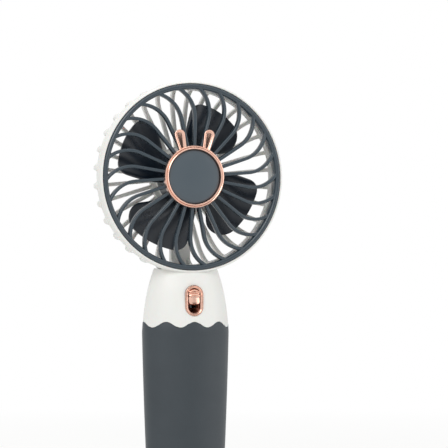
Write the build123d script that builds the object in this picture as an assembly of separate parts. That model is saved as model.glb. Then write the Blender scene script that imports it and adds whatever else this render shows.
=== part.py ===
from build123d import *
import math
import os

# Rechargeable hand-held fan with a round caged head on an oval handle.
# Millimetres. The origin is the centre of the flat base, +Z is up and the fan blows towards -Y.
# Head parts are drawn in a frame of their own: X to the right and Y up as seen from the front,
# Z forward along the head's axis. "Forward" heights in that frame are counted from the
# handle's mid plane, so a forward height f lies at world Y = -f.

# Handle and neck
NECK_H = 27.0                # wavy upper edge of the grip to the lowest point of the head's band
SWITCH_ABOVE_GRIP = 12.5     # wavy edge to the middle of the switch
BASE_HALF_WIDTH = 20.6
MID_HALF_WIDTH = 22.4
GRIP_HALF_WIDTH = 23.5
SWITCH_HALF_WIDTH = 21.6
SHOULDER_HALF_WIDTH = 19.6
NECK_HALF_WIDTH = 16.9
SWITCH_DEPTH = 14.5          # handle axis to the front wall's outside, at the switch
SHOULDER_DEPTH = 13.4
MID_BULGE = 0.8              # extra depth over the base's, half way up the grip
GRIP_BULGE = 1.5             # extra depth at the wavy edge
SLEEVE_T = 1.6               # grip sleeve wall
SLEEVE_GAP = 0.1
CORE_T = 1.6                 # shell wall under the sleeve
NECK_T = 2.0                 # shell wall of the neck
BASE_EDGE_R = 2.2            # rounded edge of the base
WAVES = 8                    # waves of the grip's upper edge, all the way round
WAVE_RISE = 1.5              # middle of the wave to a crest
WAVE_GAP = 0.12              # seam between the grip sleeve and the shell

# Head: band and rear cage
BAND_R = 50.0
BAND_DEPTH = 7.0
BAND_T = 2.1
LIP_T = 0.75                 # thin lip in front of the band, round the front grille
LIP_INSET = 0.45             # lip's outside within the band's
LEDGE_W = 1.9                # ledge inside the band that the front grille rests on
LEDGE_T = 1.2
CAGE_PROUD = 0.3             # cage ribs' outside before the band's
CAGE_BACK_F = -12.5          # outer face of the cage's back
SHOULDER_R = 13.6            # round shoulder from the cage's side to its back
CAGE_RIBS = 32
CAGE_RIB_W = 2.0
CAGE_RIB_DEPTH = 3.0
RIM_T = 2.1                  # ring inside the band that carries the ribs
STRUT_W = 10.5               # hollow strut that takes the leads down to the neck
STRUT_DEPTH = 4.4
STRUT_INSET = 0.6            # strut's back face in front of the ribs' backs
DUCT_W = 5.6
DUCT_H = 2.0
REAR_HUB_R = 16.5
REAR_HUB_DEPTH = 4.0
PLATE_T = 1.6                # floor of the rear hub and general moulded plates

# Head: front grille and cap
SWIRL_RIBS = 26
SWIRL_W = 1.7
SWIRL_DEPTH = 3.6
SWIRL_SWEEP = 16.3           # width of the zone in which the ribs turn, inside the ring's middle
SWIRL_TURN_R = 16.4
SWIRL_PHASE = 87.7           # first rib's angle at the hub, degrees
RING_W = 2.8                 # grille's outer ring
RING_H = 4.6
RING_PROUD = 0.6             # ring's front before the lip
DOME_RISE = 2.2              # grille's centre before the lip's plane
CAP_RING_R = 16.3
CAP_RING_W = 2.15
CAP_RING_H = 2.8
CAP_R = 13.9
CAP_EDGE_H = 1.3
CAP_DOME = 0.9
EAR_BASE = (6.2, 14.0)       # centre of the ear's narrow end
EAR_TOP = (8.1, 21.7)        # centre of the ear's round end
EAR_BASE_R = 2.1
EAR_TOP_R = 2.8
EAR_T = 1.6
EAR_RIM = 1.0
EAR_SINK = 0.6

# Impeller
BLADES = 4
TIP_GAP = 6.0                # blade tips to the rim inside the band
BLADE_T = 1.4
BLADE_LEAD = 10.5            # forward travel of the blade's surface per radian
BLADE_MID_F = -0.2
BLADE_CAMBER = 0.8
BLADE_DRAWN_L = 25.7         # root to tip of the blade as drawn below, stretched to its real length
# Points of the blade's edges: distance out from the root, and angle in degrees
BLADE_LEADING = ((0.0, 4.0), (3.2, 0.0), (10.1, -7.5), (16.4, -12.5), (20.6, -16.0))
BLADE_TRAILING = ((19.2, 41.0), (12.9, 44.5), (7.4, 50.0), (3.2, 54.0), (0.0, 58.0))
BLADE_SECTIONS = (-3.8, 6.0, 16.0, 29.7)     # distances from the root where its twist is drawn
BLADE_TIP_FROM = -19.0       # tip arc, degrees from the leading edge's root
BLADE_TIP_TO = 38.0
LEADING_CORNER_R = 8.5
TRAILING_CORNER_R = 6.0
BLADE_PHASE = 44.0
HUB_SKIRT_T = 1.5
HUB_PLATE_T = 1.4
HUB_EDGE_R = 1.2
ROOT_SINK = 0.7              # blades' roots inside the hub's wall
BOSS_R = 3.0
BOSS_L = 3.4

# Motor
MOTOR_R = 12.2
MOTOR_L = 12.3
MOTOR_WALL = 0.8
MOTOR_CAP_T = 2.0
NOSE_R = 3.1
NOSE_H = 0.8
SHAFT_R = 1.0
MAGNET_T = 1.7
MAGNET_ARC = 120.0
ROTOR_AIR_GAP = 0.6
CORE_STACK = 4.4
COMMUTATOR_R = 2.6
COMMUTATOR_L = 2.2
BRUSH_T = 0.4
BRUSH_W = 2.0
POLES = 3
POLE_NECK_W = 2.2
POLE_HUB_R = 2.6
SHOE_T = 1.2
SHOE_GAP = 1.8
COIL_T = 0.85                # winding's thickness on each side of a pole's neck
COIL_END = 0.7               # winding's thickness at each end of the core
LEAD_ROOM = 2.1              # room behind the motor for its tabs and leads

# Switch
BEZEL_W = 9.8
BEZEL_H = 16.2
BEZEL_OPENING_W = 7.1
BEZEL_OPENING_H = 13.1
BEZEL_PROUD = 0.5
BEZEL_FLANGE = 1.2           # width of the flange behind the neck's wall
FLANGE_T = 0.8
KNOB_W = 6.2
KNOB_H = 7.3
KNOB_RIDGE = 0.8
TRACK_DEPTH = 2.4            # bezel's face to the track's floor
SWITCH_TRAVEL = 4.0
LEVER_W = 3.0
LEVER_H = 3.0
RIDGE_H = 1.7                # height of a ridge on the knob
DISH = 0.5
SWITCH_BODY_W = 8.6
SWITCH_BODY_H = 13.0
SWITCH_BODY_D = 6.0

# Electronics and cell
BOARD_Y = 1.0                # front face of the circuit board
BOARD_T = 1.2
BOARD_W = 22.0
BOARD_H = 23.5
BOARD_SCREW_R = 0.8
SOCKET_W = 8.94
SOCKET_H = 3.26
SOCKET_WALL = 0.35
SOCKET_RECESS = 0.6
LIGHT_R = 1.0
CELL_R = 9.2
CELL_L = 65.0
CELL_FLOOR = 4.6             # cavity floor to the cell's lower end
CELL_HEADROOM = 10.1         # cell's upper end to the grip's wavy edge
TAB_L = 11.0                 # nickel strips on the cell's ends
TAB_W = 5.0
TAB_T = 0.3
TAB_OFFSET = 1.5
CELL_ROOM = 0.9              # cell to the shells' inner walls, front and back
PAD_W = 11.0
PAD_H = 14.0
CRADLE_RIB_T = 1.4
LEAD_R = 0.55
MOTOR_LEAD_X = 1.6
SCREW_R = 1.0
SCREW_HEAD_R = 1.8
SCREW_HEAD_T = 1.3
SCREW_L = 10.5
SHELL_SCREW_X = 14.0
SCREW_BOSS_R = 2.4

# Clearances
FIT = 0.1                    # pieces set into each other
RUN = 0.03                   # shaft in its bushes
SLIDE = 0.3                  # moving piece beside a fixed one

# Radii, heights and depths that follow
CORE_INSET = SLEEVE_T + SLEEVE_GAP
CAVITY_INSET = CORE_INSET + CORE_T
CAVITY_FLOOR = CORE_INSET + CORE_T
CELL_Z = CAVITY_FLOOR + CELL_FLOOR
GRIP_DEPTH = CELL_R + CELL_ROOM + CORE_T + SLEEVE_GAP + SLEEVE_T
GRIP_H = CELL_Z + CELL_L + CELL_HEADROOM
SWITCH_Z = GRIP_H + SWITCH_ABOVE_GRIP
NECK_TOP_Z = GRIP_H + NECK_H
HEAD_Z = NECK_TOP_Z + BAND_R
STEP_Z = GRIP_H + WAVE_RISE + 3.0
CAGE_R = BAND_R + CAGE_PROUD
RING_R = BAND_R - LIP_INSET - LIP_T - FIT
SWIRL_END_R = RING_R - RING_W / 2
SWIRL_STRAIGHT_R = SWIRL_END_R - SWIRL_SWEEP

HUB_FLOOR_F = CAGE_BACK_F + PLATE_T
MOTOR_BACK_F = HUB_FLOOR_F + LEAD_ROOM
MOTOR_FRONT_F = MOTOR_BACK_F + MOTOR_L
BOSS_F = MOTOR_FRONT_F + NOSE_H + SLIDE
HUB_INNER_F = BOSS_F + BOSS_L
HUB_FRONT_F = HUB_INNER_F + HUB_PLATE_T
GRILLE_BACK_F = HUB_FRONT_F + 0.8
CAP_SEAT_F = GRILLE_BACK_F + 3.1
LIP_F = CAP_SEAT_F - 1.3
DOME_F = LIP_F + DOME_RISE
RING_BACK_F = LIP_F + RING_PROUD - RING_H
BAND_BACK_F = LIP_F - BAND_DEPTH
RIM_FRONT_F = RING_BACK_F - LEDGE_T - FIT
RIM_BACK_F = BAND_BACK_F - 3.5
RIM_R = BAND_R - BAND_T - FIT
BLADE_TIP_R = RIM_R - RIM_T - TIP_GAP
CUP_R = MOTOR_R + FIT
CUP_WALL = 1.9
HUB_BACK_F = -3.5
CUP_FRONT_F = HUB_BACK_F - 1.0
HUB_BORE_R = MOTOR_R + 1.0
HUB_R = HUB_BORE_R + HUB_SKIRT_T
BLADE_ROOT_R = HUB_R - ROOT_SINK
CORE_R = MOTOR_R - MOTOR_WALL - FIT / 2 - MAGNET_T - ROTOR_AIR_GAP
SADDLE_R = CAGE_R + SLIDE
SADDLE_T = 1.8
STRUT_BACK_F = CAGE_BACK_F + STRUT_INSET
DUCT_F = MOTOR_BACK_F - 0.8
BEZEL_FACE_Y = -(SWITCH_DEPTH + BEZEL_PROUD)
TRACK_Y = BEZEL_FACE_Y + TRACK_DEPTH
TRACK_T = 1.0
NECK_BACK_DEPTH = -CAGE_BACK_F - 0.1
NECK_FRONT_DEPTH = LIP_F - 0.5

# Height, half width, front depth and back depth of the handle's sections, from the base up
SECTIONS = (
    (0.0, BASE_HALF_WIDTH, GRIP_DEPTH, GRIP_DEPTH),
    (GRIP_H / 2, MID_HALF_WIDTH, GRIP_DEPTH + MID_BULGE, GRIP_DEPTH + MID_BULGE),
    (GRIP_H - 3, GRIP_HALF_WIDTH, GRIP_DEPTH + GRIP_BULGE, GRIP_DEPTH + GRIP_BULGE),
    (SWITCH_Z, SWITCH_HALF_WIDTH, SWITCH_DEPTH, SWITCH_DEPTH - 0.3),
    (NECK_TOP_Z - 6, SHOULDER_HALF_WIDTH, SHOULDER_DEPTH, SHOULDER_DEPTH + 0.2),
    (NECK_TOP_Z, NECK_HALF_WIDTH, NECK_FRONT_DEPTH, NECK_BACK_DEPTH),
    (NECK_TOP_Z + 4.5, NECK_HALF_WIDTH - 3.3, NECK_FRONT_DEPTH - 2.7, NECK_BACK_DEPTH - 1.8),
)

WAIST = 2                    # section at which the grip's form ends and the neck's begins
HEAD = Plane(origin=(0, 0, HEAD_Z), x_dir=(1, 0, 0), z_dir=(0, -1, 0)).location
FAR = 200.0                  # reach of cutting solids, past the whole fan


# ---------------------------------------------------------------- shared forms

def section(height, half_width, front, back, inset):
    """Oval face of the handle, its front and back half ellipses meeting at the sides."""
    centre = (0, 0, height)
    edges = (
        EllipticalCenterArc(centre, half_width - inset, back - inset, start_angle=0, arc_size=180),
        EllipticalCenterArc(centre, half_width - inset, front - inset, start_angle=180, arc_size=180),
    )
    return make_face(edges)


def grip_form(inset):
    """Closed body of the lower handle, drawn in by inset on all sides."""
    return loft([section(*row, inset) for row in SECTIONS[:WAIST + 1]])


def neck_form(inset):
    """Closed body of the upper handle and neck, drawn in by inset on all sides."""
    return loft([section(*row, inset) for row in SECTIONS[WAIST:]])


def tube(outer_inset, inner_inset, low, floor, high):
    """Hollow stretch of the handle from low to high, closed below the floor's height."""
    pieces = []
    for form in (grip_form, neck_form):
        outside = form(outer_inset) & slab(low, high)
        inside = form(inner_inset) & slab(floor, high + 1)
        pieces.append(outside - inside)
    return pieces[0] + pieces[1]


def slab(low, high):
    """Everything between two heights."""
    middle = (low + high) / 2
    return Pos(0, 0, middle) * Box(FAR, FAR, high - low)


def turned(*points):
    """Ring or disc about the head's axis from the (radius, forward) corners of its section."""
    profile = make_face(Polyline([(radius, 0, forward) for radius, forward in points], close=True))
    return revolve(profile, Axis.Z)


def head_cylinder(radius, low, high):
    """World-placed disc of the head's axis between two forward heights."""
    return HEAD * (Pos(0, 0, (low + high) / 2) * Cylinder(radius, high - low))


def round_bar(radius, start, direction, length):
    """Cylinder that starts at a point and runs along a direction."""
    plane = Plane(origin=start, z_dir=direction)
    return extrude(plane * Circle(radius), amount=length)


def depth_at(height, column):
    """Handle's depth at a height, straight between its sections: column 2 front, 3 back."""
    for lower, upper in zip(SECTIONS, SECTIONS[1:]):
        if height <= upper[0]:
            share = (height - lower[0]) / (upper[0] - lower[0])
            return lower[column] + share * (upper[column] - lower[column])
    return SECTIONS[-1][column]


def wave_points():
    """The wavy edge as (x, z) points over the front half, evenly spaced along the oval."""
    half_width, depth = SECTIONS[WAIST][1:3]
    steps = 360
    lengths = [0.0]
    for step in range(steps):
        angle = math.pi / 2 * (step + 0.5) / steps
        pace = math.hypot(half_width * math.cos(angle), depth * math.sin(angle))
        lengths.append(lengths[-1] + pace * math.pi / 2 / steps)
    quarter = lengths[-1]
    per_wave = 8
    count = WAVES * per_wave // 4
    half = []
    for index in range(count + 1):
        along = quarter * index / count
        step = min(range(steps + 1), key=lambda k: abs(lengths[k] - along))
        x = half_width * math.sin(math.pi / 2 * step / steps)
        height = GRIP_H + WAVE_RISE * math.cos(2 * math.pi * index / per_wave)
        half.append((x, height))
    mirrored = [(-x, height) for x, height in half[:0:-1]]
    return mirrored + half


def above_wave(gap):
    """Everything above the wavy edge, lifted by gap."""
    points = [(x, 0, height + gap) for x, height in wave_points()]
    edge = Spline(points)
    left, right = points[0], points[-1]
    rest = Polyline(
        right, (FAR / 2, 0, right[2]), (FAR / 2, 0, FAR), (-FAR / 2, 0, FAR),
        (-FAR / 2, 0, left[2]), left,
    )
    return extrude(make_face([edge, rest]), amount=FAR / 2, both=True)


# ---------------------------------------------------------------- shells and grip

def screw_places():
    """Shell screws: left and right, near the base and under the grip's upper edge."""
    low = CAVITY_FLOOR + 7.0
    high = CELL_Z + CELL_L + 6.0
    return [(side * SHELL_SCREW_X, height) for height in (low, high) for side in (-1, 1)]


def shell_walls():
    """Both handle shells in one: neck skin, core under the sleeve, cavity and top saddle."""
    neck = neck_form(0) & above_wave(WAVE_GAP)
    neck -= head_cylinder(SADDLE_R, -FAR / 4, BAND_BACK_F)
    neck -= head_cylinder(BAND_R - 0.6, BAND_BACK_F, FAR / 4)
    neck -= neck_room(NECK_T, SADDLE_R + SADDLE_T)
    neck -= neck_form(CAVITY_INSET) & slab(0, STEP_Z)
    core = tube(CORE_INSET, CAVITY_INSET, CORE_INSET, CAVITY_FLOOR, STEP_Z - 1)
    return neck + core


def neck_room(inset, saddle_r):
    """Space inside the neck, above the step of its wall and under the saddle."""
    return (neck_form(inset) & slab(STEP_Z, FAR)) - head_cylinder(saddle_r, -FAR / 4, FAR / 4)


def inner_room(reach):
    """Space for the shells' inner ribs and bosses, reaching that far into the walls."""
    inset = CAVITY_INSET - reach
    room = grip_form(inset) & slab(CAVITY_FLOOR - reach, FAR)
    room += neck_form(inset) & slab(0, STEP_Z)
    return room + neck_room(NECK_T - reach, SADDLE_R + SADDLE_T - reach)


def cradle_ribs(room, side):
    """Flat ribs across the handle, cut out round the cell and the lead beside it."""
    ribs = []
    for share in (0.18, 0.5, 0.82):
        height = CELL_Z + CELL_L * share
        ribs.append(Pos(0, side * FAR / 4, height) * Box(FAR, FAR / 2, CRADLE_RIB_T))
    cell = Pos(0, 0, CELL_Z + CELL_L / 2) * Cylinder(CELL_R + FIT, CELL_L + 10)
    lead = Pos(*cell_lead_lane(), CELL_Z + CELL_L / 2) * Cylinder(LEAD_R + SLIDE, CELL_L + 20)
    pads = Pos(0, 0, CELL_Z + CELL_L / 2) * Box(PAD_W + 1, FAR, 2)
    return (Part() + ribs) & room - cell - lead - pads


def screw_bosses(room, side):
    """Round bosses from a shell's wall to the parting plane."""
    bosses = [
        round_bar(SCREW_BOSS_R, (x, 0, height), (0, side, 0), FAR / 4)
        for x, height in screw_places()
    ]
    return (Part() + bosses) & room


def shell_screw_cuts():
    """Pilot holes in the front shell, and clearance holes and head recesses in the rear one."""
    cuts = []
    head_y = SCREW_L / 2
    for x, height in screw_places():
        cuts.append(round_bar(SCREW_R + 0.02, (x, -head_y - 0.5, height), (0, 1, 0), SCREW_L + 1))
        cuts.append(round_bar(SCREW_HEAD_R + 2 * FIT, (x, head_y, height), (0, 1, 0), FAR / 8))
    return cuts


def obround(width, height, y, depth):
    """Upright slot-shaped block at the switch, from y towards the back."""
    outline = Rot(0, 0, 90) * SlotOverall(height, width)
    plane = Plane(origin=(0, y, SWITCH_Z), x_dir=(1, 0, 0), z_dir=(0, 1, 0))
    return extrude(plane * outline, amount=depth)


def band():
    """White band of the head, with the seat of the front grille and its thin lip."""
    lip_bore = RING_R + FIT
    ledge_r = RING_R - LEDGE_W
    wall = BAND_R - BAND_T
    bulge = ThreePointArc(
        (BAND_R, 0, BAND_BACK_F),
        (BAND_R + 0.25, 0, BAND_BACK_F + BAND_DEPTH * 0.5),
        (lip_bore + LIP_T, 0, LIP_F),
    )
    rest = Polyline(
        (lip_bore + LIP_T, 0, LIP_F), (lip_bore, 0, LIP_F), (lip_bore, 0, RING_BACK_F),
        (ledge_r, 0, RING_BACK_F), (ledge_r, 0, RING_BACK_F - LEDGE_T),
        (wall, 0, RING_BACK_F - LEDGE_T), (wall, 0, BAND_BACK_F), (BAND_R, 0, BAND_BACK_F),
    )
    return HEAD * revolve(make_face([bulge, rest]), Axis.Z)


def make_front_shell(walls, room):
    """Front half of the handle with the head's band."""
    front_half = Pos(0, -FAR / 2, 0) * Box(FAR, FAR, 4 * FAR)
    shell = (walls & front_half) + band()
    shell += cradle_ribs(room, -1)
    shell += screw_bosses(room, -1)
    shell -= obround(BEZEL_W + 2 * FIT, BEZEL_H + 2 * FIT, -FAR / 4, FAR / 4 - SWITCH_DEPTH / 2)
    return shell - shell_screw_cuts()


def board_posts():
    """Where the circuit board is screwed down: low on the right and high on the left."""
    low = board_bottom() + 3.5
    high = board_bottom() + BOARD_H - 3.5
    across = BOARD_W / 2 - 2.8
    return ((across, low), (-across, high))


def board_bottom():
    return SWITCH_Z - BOARD_H / 2


def socket_height():
    return board_bottom() + 6.5


def light_height():
    return socket_height() + 8.0


def make_rear_shell(walls, room):
    """Rear half of the handle, with the board's posts and the openings of socket and light."""
    rear_half = Pos(0, FAR / 2, 0) * Box(FAR, FAR, 4 * FAR)
    shell = walls & rear_half
    shell += cradle_ribs(room, 1)
    shell += screw_bosses(room, 1)
    back = BOARD_Y + BOARD_T
    posts = [round_bar(2.1, (x, back, height), (0, 1, 0), FAR / 8) for x, height in board_posts()]
    shell += (Part() + posts) & room
    holes = [
        round_bar(BOARD_SCREW_R + 0.02, (x, back, height), (0, 1, 0), 5.5)
        for x, height in board_posts()
    ]
    slot = Plane(origin=(0, 0, socket_height()), x_dir=(1, 0, 0), z_dir=(0, 1, 0)) * SlotOverall(
        SOCKET_W + 3 * FIT, SOCKET_H + 3 * FIT
    )
    holes.append(extrude(slot, amount=FAR / 4))
    holes.append(round_bar(LIGHT_R + FIT, (0, back, light_height()), (0, 1, 0), FAR / 4))
    window = Box(DUCT_W + 2 * FIT, 12.0, DUCT_H + 4 * FIT)
    holes.append(HEAD * (Pos(0, -SADDLE_R, DUCT_F) * window))
    return shell - holes - shell_screw_cuts()


def make_grip_sleeve():
    """Dark sleeve over the lower handle, closed at the base and wavy at the top."""
    sleeve = tube(0, SLEEVE_T, 0, SLEEVE_T, GRIP_H + WAVE_RISE + 1) - above_wave(0)
    base_edges = sleeve.faces().sort_by(Axis.Z)[0].edges()
    return fillet(base_edges, BASE_EDGE_R)


def make_shell_screws():
    """Four self-tapping screws, driven from the back under the sleeve."""
    screws = []
    for x, height in screw_places():
        head = round_bar(SCREW_HEAD_R, (x, SCREW_L / 2 + 0.05, height), (0, 1, 0), SCREW_HEAD_T)
        shank = round_bar(SCREW_R, (x, -SCREW_L / 2, height), (0, 1, 0), SCREW_L + 0.1)
        screws.append(head + shank)
    return Compound(children=screws)


# ---------------------------------------------------------------- head

def cage_rib_profile(depth):
    """Side view of a cage rib: along the side, round the shoulder and in to the hub."""
    centre_r = CAGE_R - SHOULDER_R
    centre_f = CAGE_BACK_F + SHOULDER_R
    inner = SHOULDER_R - depth
    diagonal = math.sqrt(0.5)
    hub = REAR_HUB_R - 1.0
    edges = [
        Line((CAGE_R, 0, BAND_BACK_F), (CAGE_R, 0, centre_f)),
        ThreePointArc(
            (CAGE_R, 0, centre_f),
            (centre_r + SHOULDER_R * diagonal, 0, centre_f - SHOULDER_R * diagonal),
            (centre_r, 0, CAGE_BACK_F),
        ),
        Line((centre_r, 0, CAGE_BACK_F), (hub, 0, CAGE_BACK_F)),
        Line((hub, 0, CAGE_BACK_F), (hub, 0, CAGE_BACK_F + depth)),
        Line((hub, 0, CAGE_BACK_F + depth), (centre_r, 0, CAGE_BACK_F + depth)),
        ThreePointArc(
            (centre_r, 0, CAGE_BACK_F + depth),
            (centre_r + inner * diagonal, 0, centre_f - inner * diagonal),
            (centre_r + inner, 0, centre_f),
        ),
        Line((centre_r + inner, 0, centre_f), (centre_r + inner, 0, BAND_BACK_F)),
        Line((centre_r + inner, 0, BAND_BACK_F), (CAGE_R, 0, BAND_BACK_F)),
    ]
    return make_face(edges)


def make_rear_grille():
    """Bowl-shaped cage: radial ribs wrapped over the shoulder, motor cup and lead strut."""
    rim = turned(
        (RIM_R, RIM_BACK_F), (RIM_R, RIM_FRONT_F),
        (RIM_R - RIM_T, RIM_FRONT_F), (RIM_R - RIM_T, RIM_BACK_F),
    )
    hub = turned(
        (0, CAGE_BACK_F), (REAR_HUB_R - 0.8, CAGE_BACK_F), (REAR_HUB_R, CAGE_BACK_F + 0.8),
        (REAR_HUB_R, CAGE_BACK_F + REAR_HUB_DEPTH), (CUP_R + CUP_WALL, CAGE_BACK_F + REAR_HUB_DEPTH),
        (CUP_R + CUP_WALL, CUP_FRONT_F), (CUP_R, CUP_FRONT_F), (CUP_R, MOTOR_BACK_F),
        (CUP_R - 2.2, MOTOR_BACK_F), (CUP_R - 2.2, HUB_FLOOR_F), (0, HUB_FLOOR_F),
    )
    rib = extrude(cage_rib_profile(CAGE_RIB_DEPTH), amount=CAGE_RIB_W / 2, both=True)
    pitch = 360 / CAGE_RIBS
    angles = [270 + pitch * (index + 0.5) for index in range(CAGE_RIBS)]
    ribs = [Rot(0, 0, angle) * rib for angle in angles]
    strut_start = REAR_HUB_R - 1
    strut = Pos(0, -(strut_start + CAGE_R) / 2, STRUT_BACK_F + STRUT_DEPTH / 2) * Box(
        STRUT_W, CAGE_R - strut_start, STRUT_DEPTH
    )
    duct_start = CUP_R - 2.5
    duct_end = CAGE_R + 1
    duct = Pos(0, -(duct_start + duct_end) / 2, DUCT_F) * Box(DUCT_W, duct_end - duct_start, DUCT_H)
    cage = hub + [rim, strut, *ribs]
    return HEAD * (cage - duct)


def dome_height(radius, drop):
    """Forward height of the grille's front, or of a surface that much behind it."""
    ball_r = (RING_R ** 2 + DOME_RISE ** 2) / (2 * DOME_RISE)
    return DOME_F - drop - (ball_r - math.sqrt(ball_r ** 2 - radius ** 2))


def dome_washer(inner, outer):
    """Domed washer between two radii, as thick as the swirl ribs are deep."""
    middle = (inner + outer) / 2
    front = [(radius, 0, dome_height(radius, 0)) for radius in (inner, middle, outer)]
    back = [(radius, 0, dome_height(radius, SWIRL_DEPTH)) for radius in (outer, middle, inner)]
    edges = [ThreePointArc(*front), Line(front[2], back[0]), ThreePointArc(*back), Line(back[2], front[0])]
    return revolve(make_face(edges), Axis.Z)


def swirl_rib_face():
    """Front view of one rib along +X: straight out, then an arc turning to the left."""
    half = SWIRL_W / 2
    start = CAP_RING_R - 2.0
    reach = (SWIRL_END_R ** 2 - SWIRL_STRAIGHT_R ** 2) / 2
    # Angle of the arc at which the rib's centre line meets the middle of the ring
    turn = math.atan2(SWIRL_TURN_R, SWIRL_STRAIGHT_R)
    hypotenuse = math.hypot(SWIRL_TURN_R, SWIRL_STRAIGHT_R)
    swing = math.degrees(math.asin(reach / (SWIRL_TURN_R * hypotenuse) - math.sin(turn)) + turn)
    centre = (SWIRL_STRAIGHT_R, SWIRL_TURN_R)
    outer = CenterArc(centre, SWIRL_TURN_R + half, -90, swing)
    inner = CenterArc(centre, SWIRL_TURN_R - half, -90, swing)
    edges = [
        Line((start, -half), (SWIRL_STRAIGHT_R, -half)), outer, Line(outer @ 1, inner @ 1), inner,
        Line((SWIRL_STRAIGHT_R, half), (start, half)), Line((start, half), (start, -half)),
    ]
    return make_face(edges)


def make_front_grille():
    """Outer ring and hub joined by swirl ribs that turn the same way, on a shallow dome."""
    edge = 1.2
    inner_r = RING_R - RING_W
    front_f = RING_BACK_F + RING_H
    ring_edges = [
        Line((inner_r, 0, RING_BACK_F), (RING_R, 0, RING_BACK_F)),
        Line((RING_R, 0, RING_BACK_F), (RING_R, 0, front_f - edge)),
        ThreePointArc(
            (RING_R, 0, front_f - edge), ((RING_R + inner_r) / 2, 0, front_f),
            (inner_r, 0, front_f - edge),
        ),
        Line((inner_r, 0, front_f - edge), (inner_r, 0, RING_BACK_F)),
    ]
    ring = revolve(make_face(ring_edges), Axis.Z)
    hub_r = CAP_RING_R - 0.5
    hub = turned((0, GRILLE_BACK_F), (hub_r, GRILLE_BACK_F), (hub_r, CAP_SEAT_F), (0, CAP_SEAT_F))
    blank = extrude(swirl_rib_face(), amount=FAR / 4, both=True)
    rib = blank & dome_washer(CAP_RING_R - 3.0, RING_R - 1.0)
    pitch = 360 / SWIRL_RIBS
    ribs = [Rot(0, 0, SWIRL_PHASE + pitch * index) * rib for index in range(SWIRL_RIBS)]
    seat = Pos(0, 0, CAP_SEAT_F + FAR / 8) * Cylinder(CAP_RING_R + FIT, FAR / 4)
    return HEAD * ((ring + [hub, *ribs]) - seat)


def ear_face(side, inset):
    """Front view of an ear: a narrow round end at the ring and a wide one outside."""
    base = Pos(side * EAR_BASE[0], EAR_BASE[1]) * Circle(EAR_BASE_R - inset)
    top = Pos(side * EAR_TOP[0], EAR_TOP[1]) * Circle(EAR_TOP_R - inset)
    return make_hull([*base.edges(), *top.edges()])


def make_ear_ring():
    """Metallic ring round the cap with two upright ears, each with a sunk inner face."""
    edge = 0.6
    inner = CAP_RING_R - CAP_RING_W
    front = CAP_SEAT_F + CAP_RING_H
    ring = turned(
        (inner, CAP_SEAT_F), (CAP_RING_R, CAP_SEAT_F), (CAP_RING_R, front - edge),
        (CAP_RING_R - edge, front), (inner + edge, front), (inner, front - edge),
    )
    bore = Pos(0, 0, CAP_SEAT_F) * Cylinder(inner + 0.4, FAR / 4)
    ear_back = dome_height(CAP_RING_R, 0) + FIT
    outside = Cylinder(CAP_RING_R + edge, FAR)
    for side in (-1, 1):
        ear = extrude(Pos(0, 0, ear_back) * ear_face(side, 0), amount=EAR_T)
        sunk = extrude(Pos(0, 0, ear_back + EAR_T - EAR_SINK) * ear_face(side, EAR_RIM), amount=FAR / 8)
        ring += (ear - bore) - (sunk - outside)
    return HEAD * ring


def make_centre_cap():
    """Slightly domed disc inside the ring."""
    edge_f = CAP_SEAT_F + CAP_EDGE_H
    top_f = edge_f + CAP_DOME
    ball_r = (CAP_R ** 2 + CAP_DOME ** 2) / (2 * CAP_DOME)
    middle_f = top_f - ball_r + math.sqrt(ball_r ** 2 - (CAP_R / 2) ** 2)
    edges = [
        Line((0, 0, CAP_SEAT_F), (CAP_R, 0, CAP_SEAT_F)),
        Line((CAP_R, 0, CAP_SEAT_F), (CAP_R, 0, edge_f)),
        ThreePointArc((CAP_R, 0, edge_f), (CAP_R / 2, 0, middle_f), (0, 0, top_f)),
        Line((0, 0, top_f), (0, 0, CAP_SEAT_F)),
    ]
    return HEAD * revolve(make_face(edges), Axis.Z)


# ---------------------------------------------------------------- impeller

def polar(radius, angle):
    return (radius * math.cos(math.radians(angle)), radius * math.sin(math.radians(angle)))


def blade_radius(distance):
    """Radius at a distance out from the root of the blade as drawn."""
    return BLADE_ROOT_R + distance * (BLADE_TIP_R - BLADE_ROOT_R) / BLADE_DRAWN_L


def blade_outline():
    """Front view of one blade, a broad petal with round outer corners."""
    leading = [polar(blade_radius(out), angle) for out, angle in BLADE_LEADING]
    leading.append(polar(BLADE_TIP_R, BLADE_TIP_FROM))
    trailing = [polar(blade_radius(out), angle) for out, angle in BLADE_TRAILING]
    trailing.insert(0, polar(BLADE_TIP_R, BLADE_TIP_TO))
    tip = CenterArc((0, 0), BLADE_TIP_R, BLADE_TIP_FROM, BLADE_TIP_TO - BLADE_TIP_FROM)
    face = make_face([Spline(leading), tip, Spline(trailing), Line(trailing[-1], leading[0])])
    leading_corner = face.vertices().sort_by_distance((*leading[-1], 0))[0]
    face = fillet(leading_corner, LEADING_CORNER_R)
    trailing_corner = face.vertices().sort_by_distance((*trailing[0], 0))[0]
    return fillet(trailing_corner, TRAILING_CORNER_R)


def blade_sheet():
    """Twisted and cambered sheet along +X, steep near the hub and flatter towards the tip."""
    sections = []
    for radius in [blade_radius(out) for out in BLADE_SECTIONS]:
        reach = radius * 0.85
        slope = BLADE_LEAD / radius
        rows = []
        for offset in (-BLADE_T / 2, BLADE_T / 2):
            rows.append([
                (radius, -reach, BLADE_MID_F - slope * reach + offset),
                (radius, 0, BLADE_MID_F + BLADE_CAMBER + offset),
                (radius, reach, BLADE_MID_F + slope * reach + offset),
            ])
        low, high = rows
        sections.append(make_face([
            ThreePointArc(*low), Line(low[2], high[2]), ThreePointArc(*high), Line(high[0], low[0]),
        ]))
    return loft(sections)


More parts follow.
